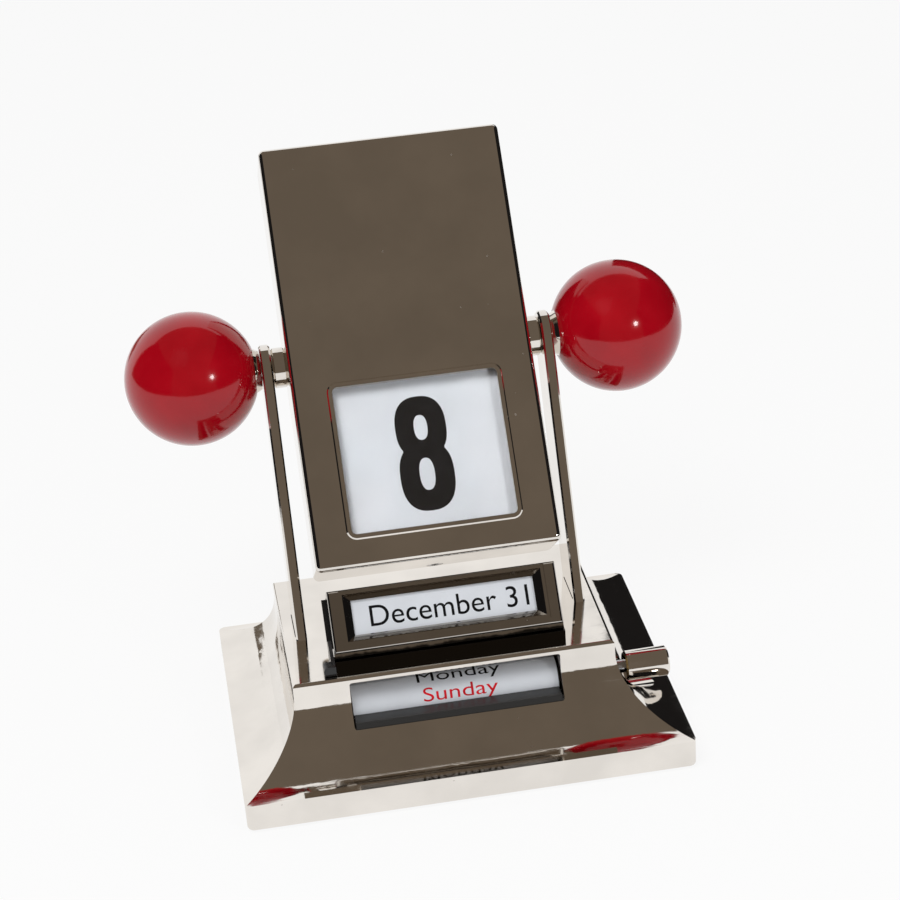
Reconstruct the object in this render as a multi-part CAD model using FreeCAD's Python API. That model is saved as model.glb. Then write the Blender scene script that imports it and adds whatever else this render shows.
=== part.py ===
import FreeCAD, Part
import math
import os

V = FreeCAD.Vector

# Perpetual desk calendar, millimetres.
# X runs along the axle, +Y points to the back, +Z is up.
# The origin is under the middle of the base, on the surface that the calendar stands on.

# Base casting
BASE_DEPTH = 76.0
FELT_THICK = 0.8
FELT_INSET = 1.0
FELT_CORNER_R = 2.0
RIM_LIFT = 0.5
RIM_HEIGHT = 6.75
COVE_HEIGHT = 13.5
WALL_ABOVE_COVE = 3.3
COVE_FRONT = 18.8
COVE_BACK = 10.5
COVE_SIDE = 13.8
TOP_LEDGE = 2.8
BASE_WALL = 3.0
HOLLOW_STRIPS = 3
RIM_CORNER_R = 1.6
RIM_FOOT_R = 0.9
TOP_EDGE_R = 0.8
PLATE_THICK = 1.5
PLATE_GAP = 0.15
SCREW_R = 1.5
SCREW_HEAD_R = 2.7
SCREW_CLEAR = 0.2
SCREW_INSET = 9.0
SCREW_BOSS_WALL = 2.2
SCREW_TIP_GAP = 0.4
SMALL_SCREW_R = 1.0
SMALL_HEAD_R = 1.9
SMALL_HEAD_HEIGHT = 1.1
SMALL_BOSS_WALL = 2.0

# Fits
RUN_GAP = 0.05
PRESS_GAP = 0.01
SLIDE_GAP = 0.25
SIDE_GAP = 0.12
THROUGH = 1.0

# Axle and uprights
AXLE_BACK = 44.04
AXLE_R = 2.5
UPRIGHT_BACK = 14.4
UPRIGHT_THICK = 2.5
UPRIGHT_BOSS_R = 5.6
UPRIGHT_FOOT_DEPTH = 14.0
UPRIGHT_EDGE = 0.4
TENON_DEPTH = 8.0
TENON_LENGTH = 10.0
TENON_GAP = 0.1
TENON_PAD = 3.0
TENON_PAD_SIDE = 2.0
TENON_PAD_OUTER = 1.2
TENON_SCREW_SHARE = 0.68
TENON_SCREW_LENGTH = 4.9
BUSH_WALL = 1.2

# Flip case, in its own frame: its middle on the axle, front towards -y, length along z
CASE_LEAN = 36.7
CASE_WIDTH = 55.3
CASE_LENGTH = 97.5
CASE_WALL = 1.6
CASE_EDGE_R = 1.3
CASE_SWING_GAP = 4.95
WINDOW_WIDTH = 37.4
WINDOW_CORNER_R = 1.2
WINDOW_FRAME = 11.1
WINDOW_DROP = 1.6
BEZEL_WIDTH = 1.2
BEZEL_PROUD = 0.35
BEZEL_ROOT = 0.5
PANE_THICK = 1.0
PANE_LAP = 2.0
PANE_CORNER_R = 1.0
PANE_PLAY = 0.18
CASE_TAB_WIDTH = 10.0
CASE_TAB_THICK = 1.5
CASE_TAB_GAP = 0.05
CASE_TAB_REACH = 7.3
CASE_SCREW_Y = 5.6
CASE_SCREW_SINK = 0.05
CASE_SCREW_LENGTH = 2.9
GUIDE_THICK = 1.5
GUIDE_GAP = 0.3
DATE_PLATES = 16
DATE_PLATE_THICK = 0.74
DATE_PLATE_SPACE = 0.06
DATE_PLATE_CUT = 1.2
DATE_PLATE_SHORT = 0.9

# What turns with the case outside the uprights
AXLE_FLANGE_R = 5.0
AXLE_FLANGE_THICK = 1.0
COLLAR_R = 4.6
COLLAR_LENGTH = 3.13
COLLAR_EDGE = 0.4
WASHER_THICK = 1.4
WASHER_R = 5.2
WASHER_OUTER_R = 4.4
BALL_R = 15.2
BALL_FLAT = 14.15
INSERT_R = 4.0
INSERT_LENGTH = 10.0
INSERT_END = 1.5
STUD_R = 2.0
STUD_SHORT = 2.0

# Month holder, leaning like the case
HOLDER_FOOT_BACK = 4.1
HOLDER_STEP_HEIGHT = 2.0
HOLDER_END_WALL = 2.9
HOLDER_BACK_WALL = 0.88
BEZEL_START = 3.4
BEZEL_RAISED = 0.9
BEZEL_EDGE_R = 0.7
BEZEL_BELOW = 3.8
BEZEL_ABOVE = 2.5
LABEL_WIDTH = 41.4
LABEL_HEIGHT = 7.8
MOULD_WIDTH = 2.6
MOULD_HEIGHT = 2.2
MOULD_DEPTH = 1.3
MOULD_FLOOR = 0.2
MOULD_BEVEL = 1.82
MOULD_BEVEL_HEIGHT = 1.42
FRONT_LIP = 1.9
CARD_COUNT = 12
CARD_THICK = 0.2
CARD_SPACE = 0.02
CARD_LAP = 1.3
CARD_LAP_END = 2.3
CARD_GAP = 0.2
TRAY_FLOOR = 0.6
TRAY_BACK = 0.4
LINK_THICK = 0.8
LINK_HEIGHT = 1.6
TAB_WIDTH = 1.85
TAB_DEPTH = 2.6
TAB_HEIGHT = 2.2
TAB_FORWARD = 2.5
TAB_LIFT = 0.15
TAB_CORNER_R = 0.7
HOLDER_SCREW_X = 16.0
LUG_WIDTH = 6.0
LUG_ROOT = 0.05
LUG_REACH = 7.2
LUG_THICK = 1.3
LUG_CORNER_R = 2.4
LUG_SCREW_DEPTH = 4.0
LUG_HEAD_EDGE = 0.4

# Weekday drum, in a bore behind the window of the base
DRUM_BACK = 6.1
DRUM_LIFT = 12.7
DRUM_R = 4.8
DRUM_RIM = 1.0
DRUM_HUB_WALL = 1.2
DRUM_HOLLOW = 6.0
BAND_THICK = 0.3
DRUM_BORE_GAP = 0.35
DRUM_END_GAP = 0.4
WEEK_WINDOW_WIDTH = 47.4
WEEK_WINDOW_SILL = 12.2
WEEK_WINDOW_LIP = 1.3
WEEK_WINDOW_CORNER_R = 0.6
WEEK_SHAFT_R = 1.5
SHAFT_END_BORE = 2.0
SHAFT_END_GAP = 0.2
SPRING_THICK = 0.7
SPRING_CLEAR = 0.5
SPRING_INSET = 0.6
BUSH_START = 1.2
BUSH_LENGTH = 5.0
KNOB_R = 3.45
KNOB_LENGTH = 10.0
KNOB_EDGE = 0.4
KNOB_INSET = 0.6
KNOB_CAP = 1.6
GRUB_R = 0.8
GRUB_PLACE = 4.0
GRUB_SINK = 0.3
BLOCK_WALL = 2.6

# Heights
COVE_Z = RIM_LIFT + RIM_HEIGHT
WALL_Z = COVE_Z + COVE_HEIGHT
TOP_Z = WALL_Z + WALL_ABOVE_COVE
PLATE_BOTTOM_Z = FELT_THICK
PLATE_TOP_Z = PLATE_BOTTOM_Z + PLATE_THICK

# Case and the plates in it
DATE_PLATE_PITCH = DATE_PLATE_THICK + DATE_PLATE_SPACE
STACK_THICK = (DATE_PLATES - 1) * DATE_PLATE_PITCH + DATE_PLATE_THICK
CASE_THICK = STACK_THICK + 2 * (PANE_THICK + CASE_WALL + PANE_PLAY)
CASE_HALF_X = CASE_WIDTH / 2
CASE_INNER_X = CASE_HALF_X - CASE_WALL
CASE_INNER_Y = CASE_THICK / 2 - CASE_WALL
CASE_INNER_Z = CASE_LENGTH / 2 - CASE_WALL
CASE_TAB_Z = CASE_INNER_Z - CASE_TAB_THICK
STACK_WIDTH = 2 * (CASE_INNER_X - GUIDE_THICK - SLIDE_GAP)
STACK_BOTTOM = -(CASE_TAB_Z - SLIDE_GAP)
DATE_PLATE_HEIGHT = -STACK_BOTTOM - DATE_PLATE_SHORT
WINDOW_HEIGHT = DATE_PLATE_HEIGHT - WINDOW_FRAME
WINDOW_MIDDLE = STACK_BOTTOM + DATE_PLATE_HEIGHT / 2 - WINDOW_DROP

# Places along X, from the case outwards
UPRIGHT_INNER_X = CASE_HALF_X + COLLAR_LENGTH + SIDE_GAP
UPRIGHT_OUTER_X = UPRIGHT_INNER_X + UPRIGHT_THICK
WASHER_X = UPRIGHT_OUTER_X + SIDE_GAP
BALL_FACE_X = WASHER_X + WASHER_THICK
BALL_X = BALL_FACE_X + BALL_FLAT
TOP_HALF_X = UPRIGHT_OUTER_X + TOP_LEDGE
BASE_WIDTH = 2 * (TOP_HALF_X + COVE_SIDE)
KNOB_END_X = BASE_WIDTH / 2 - KNOB_INSET
BUSH_R = AXLE_R + RUN_GAP + BUSH_WALL

# Places along Y, from the front edge of the top backwards
TOP_FRONT_Y = -BASE_DEPTH / 2 + COVE_FRONT
TOP_BACK_Y = BASE_DEPTH / 2 - COVE_BACK
DRUM_Y = TOP_FRONT_Y + DRUM_BACK
HOLDER_FOOT_Y = TOP_FRONT_Y + HOLDER_FOOT_BACK
UPRIGHT_FOOT_FRONT = HOLDER_FOOT_Y + UPRIGHT_BACK
AXLE_Y = HOLDER_FOOT_Y + AXLE_BACK
AXLE_Z = TOP_Z + math.hypot(CASE_LENGTH / 2, CASE_THICK / 2) + CASE_SWING_GAP

# Month holder and its cards
LABEL_MIDDLE = BEZEL_START + BEZEL_BELOW + LABEL_HEIGHT / 2
HOLDER_LENGTH = LABEL_MIDDLE + LABEL_HEIGHT / 2 + BEZEL_ABOVE
CARD_PITCH = CARD_THICK + CARD_SPACE
CARDS_THICK = (CARD_COUNT - 1) * CARD_PITCH + CARD_THICK
CARD_WIDTH = LABEL_WIDTH + 2 * CARD_LAP_END
CARD_HEIGHT = LABEL_HEIGHT + 2 * CARD_LAP
HOLDER_WIDTH = CARD_WIDTH + 2 * HOLDER_END_WALL
POCKET_BACK = FRONT_LIP + CARDS_THICK + TRAY_BACK + 2 * CARD_GAP
POCKET_LOW = LABEL_MIDDLE - CARD_HEIGHT / 2 - TRAY_FLOOR - CARD_GAP
POCKET_HIGH = LABEL_MIDDLE + CARD_HEIGHT / 2 + CARD_GAP
HOLDER_DEPTH = POCKET_BACK + HOLDER_BACK_WALL

# Weekday drum
DRUM_Z = RIM_LIFT + DRUM_LIFT
DRUM_LENGTH = WEEK_WINDOW_WIDTH - 2 * DRUM_END_GAP
BAND_R = DRUM_R + BAND_THICK
BORE_R = BAND_R + DRUM_BORE_GAP
BORE_END_X = -(DRUM_LENGTH / 2 + DRUM_BORE_GAP)
SHAFT_START_X = BORE_END_X - SHAFT_END_BORE
WINDOW_FLOOR_Z = RIM_LIFT + WEEK_WINDOW_SILL
WINDOW_LIP_Z = TOP_Z - WEEK_WINDOW_LIP
SIDES = (("left", -1), ("right", 1))


def box(x0, x1, y0, y1, z0, z1):
    return Part.makeBox(x1 - x0, y1 - y0, z1 - z0, V(x0, y0, z0))


def rod_x(radius, x0, x1, y=0.0, z=0.0):
    return Part.makeCylinder(radius, x1 - x0, V(x0, y, z), V(1, 0, 0))


def rod_z(radius, z0, z1, x=0.0, y=0.0):
    return Part.makeCylinder(radius, z1 - z0, V(x, y, z0), V(0, 0, 1))


def face_of(edges):
    return Part.Face(Part.Wire(edges))


def polygon_x(points, x0, x1):
    """Side profile given as (y, z) points, drawn out along X."""
    corners = [V(x0, y, z) for y, z in points]
    wire = Part.makePolygon(corners + corners[:1])
    return Part.Face(wire).extrude(V(x1 - x0, 0, 0))


def rounded_plate(width, height, radius, y0, y1, z_middle=0.0):
    """Upright rectangle with rounded corners, facing -y."""
    plate = box(-width / 2, width / 2, y0, y1, z_middle - height / 2, z_middle + height / 2)
    corners = [e for e in plate.Edges if abs(e.Vertexes[0].X - e.Vertexes[-1].X) < 1e-6
               and abs(e.Vertexes[0].Z - e.Vertexes[-1].Z) < 1e-6]
    return plate.makeFillet(radius, corners)


def to_case(shape):
    """From the case's own frame to its place on the axle."""
    moved = shape.copy()
    moved.rotate(V(0, 0, 0), V(1, 0, 0), -CASE_LEAN)
    moved.translate(V(0, AXLE_Y, AXLE_Z))
    return moved


def to_holder(shape):
    """From the month holder's frame to its foot on the top of the base."""
    moved = shape.copy()
    moved.rotate(V(0, 0, 0), V(1, 0, 0), -CASE_LEAN)
    moved.translate(V(0, HOLDER_FOOT_Y, TOP_Z))
    return moved


def mirror_side(shape, side):
    if side > 0:
        return shape
    return shape.mirror(V(0, 0, 0), V(1, 0, 0))


def edges_where(shape, test):
    return [e for e in shape.Edges if test(e)]


# Base

def cove_arc(start, end, low):
    """Concave quarter ellipse up a mitred corner, from the rim's ledge to the wall."""
    centre = V(start[0], start[1], low + COVE_HEIGHT)
    foot = V(start[0], start[1], low)
    head = V(end[0], end[1], low + COVE_HEIGHT)
    return Part.ArcOfEllipse(Part.Ellipse(head, foot, centre), 0, math.pi / 2).toShape()


def level_corners(corners, z):
    return [V(x, y, z) for x, y in corners]


def ring_of_faces(lower, upper):
    faces = []
    for i in range(len(lower)):
        j = (i + 1) % len(lower)
        faces.append(Part.Face(Part.makePolygon([lower[i], lower[j], upper[j], upper[i], lower[i]])))
    return faces


def cove_faces(rim, crown, low, smooth):
    """The four coves: true ellipses outside, a few flat strips inside the hollow."""
    if smooth:
        arcs = [cove_arc(start, end, low) for start, end in zip(rim, crown)]
        return [Part.makeRuledSurface(arcs[i], arcs[(i + 1) % 4]) for i in range(4)]
    rings = []
    for step in range(HOLLOW_STRIPS + 1):
        turn = math.pi / 2 * step / HOLLOW_STRIPS
        inward = math.sin(turn)
        corners = [(a[0] + (b[0] - a[0]) * inward, a[1] + (b[1] - a[1]) * inward)
                   for a, b in zip(rim, crown)]
        rings.append(level_corners(corners, low + COVE_HEIGHT * (1 - math.cos(turn))))
    faces = []
    for lower, upper in zip(rings, rings[1:]):
        faces += ring_of_faces(lower, upper)
    return faces


def coved_block(wall, bottom, top, smooth=True):
    """Rim, concave coves met in mitred corners, and upright wall, all set in by one wall thickness."""
    x, y = BASE_WIDTH / 2 - wall, BASE_DEPTH / 2 - wall
    rim = [(-x, -y), (x, -y), (x, y), (-x, y)]
    x, front, back = TOP_HALF_X - wall, TOP_FRONT_Y + wall, TOP_BACK_Y - wall
    crown = [(-x, front), (x, front), (x, back), (-x, back)]
    ledge, shoulder = COVE_Z - wall, WALL_Z - wall
    faces = cove_faces(rim, crown, ledge, smooth)
    faces += ring_of_faces(level_corners(rim, bottom), level_corners(rim, ledge))
    faces += ring_of_faces(level_corners(crown, shoulder), level_corners(crown, top))
    for corners, z in ((rim, bottom), (crown, top)):
        points = level_corners(corners, z)
        faces.append(Part.Face(Part.makePolygon(points + points[:1])))
    shell = Part.makeShell(faces)
    shell.sewShape()
    solid = Part.makeSolid(shell)
    return solid if solid.Volume > 0 else solid.reversed()


def base_screw_places():
    x = BASE_WIDTH / 2 - SCREW_INSET
    y = BASE_DEPTH / 2 - SCREW_INSET
    return [(sx * x, sy * y) for sx in (-1, 1) for sy in (-1, 1)]


def tenon_middle_y():
    return UPRIGHT_FOOT_FRONT + UPRIGHT_FOOT_DEPTH / 2


def tenon_screw_places():
    z = TOP_Z - TENON_DEPTH * TENON_SCREW_SHARE
    return [(tenon_middle_y() + s * TENON_LENGTH / 4, z) for s in (-1, 1)]


def screw_tip_z():
    return COVE_Z - 4 * SCREW_TIP_GAP


def base_casting():
    body = coved_block(0.0, RIM_LIFT, TOP_Z)
    half_x = BASE_WIDTH / 2
    half_y = BASE_DEPTH / 2

    blank = box(-half_x, half_x, -half_y, half_y, RIM_LIFT, TOP_Z)
    blank = blank.makeFillet(RIM_CORNER_R, edges_where(
        blank, lambda e: e.BoundBox.ZMax - e.BoundBox.ZMin > 1))
    low = edges_where(blank, lambda e: e.BoundBox.ZMax < RIM_LIFT + 1e-4)
    blank = blank.makeFillet(RIM_FOOT_R, low)
    high = edges_where(body, lambda e: e.BoundBox.ZMin > TOP_Z - 1e-4)
    body = body.makeFillet(TOP_EDGE_R, high).common(blank)
    hollow = coved_block(BASE_WALL, RIM_LIFT - THROUGH, TOP_Z - BASE_WALL, False)
    block = box(-(WEEK_WINDOW_WIDTH / 2 + BLOCK_WALL), half_x, -half_y,
                DRUM_Y + BORE_R + BLOCK_WALL, DRUM_Z - BORE_R - BLOCK_WALL, TOP_Z)
    keep = [block.common(coved_block(RUN_GAP, RIM_LIFT, TOP_Z - RUN_GAP))]
    boss_r = SCREW_R + SCREW_BOSS_WALL
    for x, y in base_screw_places():
        keep.append(rod_z(boss_r, PLATE_TOP_Z, COVE_Z - SCREW_TIP_GAP, x, y))
    for sx in (-1, 1):
        keep.append(rod_z(SMALL_SCREW_R + SMALL_BOSS_WALL,
                          TOP_Z - LUG_SCREW_DEPTH - SMALL_BOSS_WALL, TOP_Z - RUN_GAP,
                          sx * HOLDER_SCREW_X, holder_screw_y()))
    for side in (-1, 1):
        reach = TENON_LENGTH / 2 + TENON_PAD_SIDE
        pad = box(UPRIGHT_INNER_X - TENON_PAD, UPRIGHT_OUTER_X + TENON_PAD_OUTER,
                  tenon_middle_y() - reach, tenon_middle_y() + reach,
                  TOP_Z - TENON_DEPTH - SMALL_BOSS_WALL, TOP_Z - RUN_GAP)
        keep.append(mirror_side(pad, side))
    for piece in keep:
        hollow = hollow.cut(piece)
    body = body.cut(hollow)
    plate_seat = box(-half_x + BASE_WALL, half_x - BASE_WALL, -half_y + BASE_WALL,
                     half_y - BASE_WALL, RIM_LIFT - THROUGH, PLATE_TOP_Z)
    body = body.cut(plate_seat)
    bore = rod_x(BORE_R, BORE_END_X, half_x + THROUGH, DRUM_Y, DRUM_Z)
    window = box(-WEEK_WINDOW_WIDTH / 2, WEEK_WINDOW_WIDTH / 2, -half_y, DRUM_Y,
                 WINDOW_FLOOR_Z, WINDOW_LIP_Z)
    mouth = edges_where(window, lambda e: abs(e.BoundBox.XMin - e.BoundBox.XMax) < 1e-6
                        and e.BoundBox.YMax - e.BoundBox.YMin > THROUGH)
    window = window.makeFillet(WEEK_WINDOW_CORNER_R, mouth)
    end_bore = rod_x(WEEK_SHAFT_R + RUN_GAP, SHAFT_START_X, BORE_END_X,
                     DRUM_Y, DRUM_Z)
    body = body.cut(bore).cut(window).cut(end_bore)
    for x, y in base_screw_places():
        body = body.cut(rod_z(SCREW_R + PRESS_GAP, PLATE_TOP_Z - THROUGH, screw_tip_z(), x, y))
    for sx in (-1, 1):
        body = body.cut(rod_z(SMALL_SCREW_R + PRESS_GAP,
                              TOP_Z - LUG_SCREW_DEPTH - SHAFT_END_GAP, TOP_Z + THROUGH,
                              sx * HOLDER_SCREW_X, holder_screw_y()))
    for side in (-1, 1):
        reach = TENON_LENGTH / 2 + TENON_GAP
        slot = box(UPRIGHT_INNER_X - TENON_GAP, UPRIGHT_OUTER_X + TENON_GAP,
                   tenon_middle_y() - reach, tenon_middle_y() + reach,
                   TOP_Z - TENON_DEPTH - SMALL_BOSS_WALL - THROUGH, TOP_Z + THROUGH)
        body = body.cut(mirror_side(slot, side))
        for y, z in tenon_screw_places():
            hole = rod_x(SMALL_SCREW_R + SCREW_CLEAR, UPRIGHT_INNER_X - TENON_PAD - THROUGH,
                         UPRIGHT_INNER_X, y, z)
            body = body.cut(mirror_side(hole, side))
    return body


def base_plate():
    inset = BASE_WALL + PLATE_GAP
    x, y = BASE_WIDTH / 2 - inset, BASE_DEPTH / 2 - inset
    plate = box(-x, x, -y, y, PLATE_BOTTOM_Z, PLATE_TOP_Z)
    for px, py in base_screw_places():
        plate = plate.cut(rod_z(SCREW_R + SCREW_CLEAR, 0, TOP_Z, px, py))
        plate = plate.cut(Part.makeCone(SCREW_HEAD_R + SCREW_CLEAR, SCREW_R + SCREW_CLEAR,
                                        PLATE_THICK, V(px, py, PLATE_BOTTOM_Z)))
    return plate


def base_felt():
    inset = BASE_WALL + FELT_INSET
    x, y = BASE_WIDTH / 2 - inset, BASE_DEPTH / 2 - inset
    felt = box(-x, x, -y, y, 0, FELT_THICK)
    upright = edges_where(felt, lambda e: e.BoundBox.ZMax - e.BoundBox.ZMin > FELT_THICK / 2)
    felt = felt.makeFillet(FELT_CORNER_R, upright)
    for px, py in base_screw_places():
        felt = felt.cut(rod_z(SCREW_HEAD_R + SLIDE_GAP, -THROUGH, FELT_THICK + THROUGH, px, py))
    return felt


def countersunk_screw(radius, head_r, head_h, length):
    """Head at z = 0 facing down, shank upwards."""
    head = Part.makeCone(head_r, radius, head_h, V(0, 0, 0))
    return head.fuse(rod_z(radius, head_h, length)).removeSplitter()


def base_screws():
    screws = []
    length = screw_tip_z() - SCREW_TIP_GAP - PLATE_BOTTOM_Z
    for x, y in base_screw_places():
        screw = countersunk_screw(SCREW_R, SCREW_HEAD_R, PLATE_THICK, length)
        screw.translate(V(x, y, PLATE_BOTTOM_Z))
        screws.append(screw)
    return Part.makeCompound(screws)


# Uprights

def tangent_point(px, pz, cx, cz, radius, sign):
    """Point where the line from (px, pz) touches the boss circle."""
    dx, dz = px - cx, pz - cz
    reach = math.hypot(dx, dz)
    base = math.atan2(dz, dx)
    swing = math.acos(radius / reach) * sign
    return cx + radius * math.cos(base + swing), cz + radius * math.sin(base + swing)


def upright(side):
    foot_front = UPRIGHT_FOOT_FRONT
    foot_back = UPRIGHT_FOOT_FRONT + UPRIGHT_FOOT_DEPTH
    front = tangent_point(foot_front, TOP_Z, AXLE_Y, AXLE_Z, UPRIGHT_BOSS_R, -1)
    back = tangent_point(foot_back, TOP_Z, AXLE_Y, AXLE_Z, UPRIGHT_BOSS_R, 1)
    x0 = UPRIGHT_INNER_X
    crown_angle = (math.atan2(front[1] - AXLE_Z, front[0] - AXLE_Y)
                   + math.atan2(back[1] - AXLE_Z, back[0] - AXLE_Y)) / 2
    crown = (AXLE_Y + UPRIGHT_BOSS_R * math.cos(crown_angle),
             AXLE_Z + UPRIGHT_BOSS_R * math.sin(crown_angle))
    if (crown[1] - AXLE_Z) < 0:
        crown = (2 * AXLE_Y - crown[0], 2 * AXLE_Z - crown[1])
    a, b = V(x0, foot_front, TOP_Z), V(x0, front[0], front[1])
    c, d = V(x0, back[0], back[1]), V(x0, foot_back, TOP_Z)
    top = Part.Arc(b, V(x0, crown[0], crown[1]), c).toShape()
    face = face_of([Part.makeLine(a, b), top, Part.makeLine(c, d), Part.makeLine(d, a)])
    plate = face.extrude(V(UPRIGHT_THICK, 0, 0))

    def long_edge(e):
        return e.BoundBox.XMax - e.BoundBox.XMin < 1e-4 and e.BoundBox.ZMax > TOP_Z + THROUGH

    plate = plate.makeChamfer(UPRIGHT_EDGE, edges_where(plate, long_edge))
    tenon = box(UPRIGHT_INNER_X, UPRIGHT_OUTER_X, tenon_middle_y() - TENON_LENGTH / 2,
                tenon_middle_y() + TENON_LENGTH / 2, TOP_Z - TENON_DEPTH, TOP_Z + THROUGH)
    plate = plate.fuse(tenon).removeSplitter()
    plate = plate.cut(rod_x(BUSH_R + PRESS_GAP, x0 - THROUGH, UPRIGHT_OUTER_X + THROUGH, AXLE_Y, AXLE_Z))
    for y, z in tenon_screw_places():
        plate = plate.cut(rod_x(SMALL_SCREW_R + PRESS_GAP, x0 - THROUGH,
                                x0 + UPRIGHT_THICK - PRESS_GAP, y, z))
    return mirror_side(plate, side)


def upright_bush(side):
    outer = rod_x(BUSH_R, UPRIGHT_INNER_X, UPRIGHT_OUTER_X, AXLE_Y, AXLE_Z)
    inner = rod_x(AXLE_R + RUN_GAP, UPRIGHT_INNER_X - THROUGH, UPRIGHT_OUTER_X + THROUGH, AXLE_Y, AXLE_Z)
    return mirror_side(outer.cut(inner), side)


def upright_screws():
    screws = []
    for side in (-1, 1):
        for y, z in tenon_screw_places():
            seat = UPRIGHT_INNER_X - TENON_PAD
            head = rod_x(SMALL_HEAD_R, seat - SMALL_HEAD_HEIGHT, seat, y, z)
            shank = rod_x(SMALL_SCREW_R, seat, seat + TENON_SCREW_LENGTH, y, z)
            screws.append(mirror_side(head.fuse(shank).removeSplitter(), side))
    return Part.makeCompound(screws)


# Flip case

def case_shell():
    """Half of the case with its window, front half in the case's own frame."""
    hx, hz, hy = CASE_HALF_X, CASE_LENGTH / 2, CASE_THICK / 2
    outer = box(-hx, hx, -hy, 0, -hz, hz)

    def outside(e):
        bb = e.BoundBox
        return not (abs(bb.YMin) < 1e-6 and abs(bb.YMax) < 1e-6)

    outer = outer.makeFillet(CASE_EDGE_R, edges_where(outer, outside))
    frame = rounded_plate(WINDOW_WIDTH + 2 * BEZEL_WIDTH, WINDOW_HEIGHT + 2 * BEZEL_WIDTH,
                          WINDOW_CORNER_R + BEZEL_WIDTH, -hy - BEZEL_PROUD, -hy + BEZEL_ROOT, WINDOW_MIDDLE)
    rim = edges_where(frame, lambda e: e.BoundBox.YMax < -hy - BEZEL_PROUD + 1e-4)
    frame = frame.makeChamfer(BEZEL_PROUD - RUN_GAP, rim)
    shell = outer.fuse(frame).removeSplitter()
    inner = box(-CASE_INNER_X, CASE_INNER_X, -CASE_INNER_Y, THROUGH, -CASE_INNER_Z, CASE_INNER_Z)
    shell = shell.cut(inner)
    opening = rounded_plate(WINDOW_WIDTH, WINDOW_HEIGHT, WINDOW_CORNER_R, -hy - THROUGH, 0, WINDOW_MIDDLE)
    shell = shell.cut(opening)
    for side in (-1, 1):
        hole = rod_x(AXLE_R + PRESS_GAP, CASE_INNER_X - THROUGH, CASE_HALF_X + THROUGH)
        shell = shell.cut(mirror_side(hole, side))
    return shell


def case_screw_cut(sign, radius, z0, z1):
    low, high = min(sign * z0, sign * z1), max(sign * z0, sign * z1)
    return rod_z(radius, low, high, 0, CASE_SCREW_Y)


def case_front():
    shell = case_shell()
    for sign in (-1, 1):
        z0, z1 = CASE_TAB_Z, CASE_INNER_Z - CASE_TAB_GAP
        tab = box(-CASE_TAB_WIDTH / 2, CASE_TAB_WIDTH / 2, -CASE_INNER_Y - CASE_TAB_GAP, CASE_TAB_REACH,
                  min(sign * z0, sign * z1), max(sign * z0, sign * z1))
        shell = shell.fuse(tab).removeSplitter()
        shell = shell.cut(case_screw_cut(sign, SMALL_SCREW_R + PRESS_GAP, z0 - THROUGH,
                                         CASE_LENGTH / 2 + THROUGH))
    return to_case(shell)


def case_back():
    shell = case_shell()
    shell.rotate(V(0, 0, 0), V(1, 0, 0), 180)
    for sign in (-1, 1):
        hz = CASE_LENGTH / 2
        shell = shell.cut(case_screw_cut(sign, SMALL_SCREW_R + SCREW_CLEAR, CASE_INNER_Z - THROUGH,
                                         hz + THROUGH))
        sink = Part.makeCone(SMALL_HEAD_R + 2 * CASE_SCREW_SINK, SMALL_SCREW_R + 2 * CASE_SCREW_SINK,
                             SMALL_HEAD_HEIGHT, V(0, CASE_SCREW_Y, sign * hz), V(0, 0, -sign))
        shell = shell.cut(sink)
    return to_case(shell)


def case_screws():
    screws = []
    for sign in (-1, 1):
        screw = countersunk_screw(SMALL_SCREW_R, SMALL_HEAD_R, SMALL_HEAD_HEIGHT - 2 * CASE_SCREW_SINK,
                                  CASE_SCREW_LENGTH)
        if sign > 0:
            screw.rotate(V(0, 0, 0), V(1, 0, 0), 180)
        screw.translate(V(0, CASE_SCREW_Y, sign * (CASE_LENGTH / 2 - CASE_SCREW_SINK)))
        screws.append(to_case(screw))
    return Part.makeCompound(screws)


def window_pane(back):
    pane = rounded_plate(WINDOW_WIDTH + 2 * PANE_LAP, WINDOW_HEIGHT + 2 * PANE_LAP, PANE_CORNER_R,
                         -CASE_INNER_Y, -CASE_INNER_Y + PANE_THICK, WINDOW_MIDDLE)
    if back:
        pane.rotate(V(0, 0, 0), V(1, 0, 0), 180)
    return to_case(pane)


def side_guide(side):
    depth = CASE_INNER_Y - GUIDE_GAP
    length = CASE_TAB_Z - GUIDE_GAP
    strip = box(CASE_INNER_X - GUIDE_THICK, CASE_INNER_X, -depth, depth, -length, length)
    strip = strip.cut(rod_x(AXLE_FLANGE_R + GUIDE_GAP, CASE_INNER_X - GUIDE_THICK - THROUGH,
                            CASE_INNER_X + THROUGH))
    return to_case(mirror_side(strip, side))


def date_plate(index):
    y0 = -STACK_THICK / 2 + index * DATE_PLATE_PITCH
    plate = box(-STACK_WIDTH / 2, STACK_WIDTH / 2, y0, y0 + DATE_PLATE_THICK,
                STACK_BOTTOM, STACK_BOTTOM + DATE_PLATE_HEIGHT)
    corners = edges_where(plate, lambda e: e.BoundBox.YMax - e.BoundBox.YMin > DATE_PLATE_THICK / 2)
    return to_case(plate.makeChamfer(DATE_PLATE_CUT, corners))


def date_plates():
    return Part.makeCompound([date_plate(i) for i in range(1, DATE_PLATES)])


def stub_axle(side):
    """Flange inside the case, journal in the upright, thinner threaded end in the ball."""
    flange = rod_x(AXLE_FLANGE_R, CASE_INNER_X - AXLE_FLANGE_THICK, CASE_INNER_X)
    journal = rod_x(AXLE_R, CASE_INNER_X, BALL_FACE_X)
    stud = rod_x(STUD_R, BALL_FACE_X, BALL_FACE_X + INSERT_LENGTH - STUD_SHORT)
    shape = flange.fuse(journal).fuse(stud).removeSplitter()
    return to_case(mirror_side(shape, side))


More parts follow.
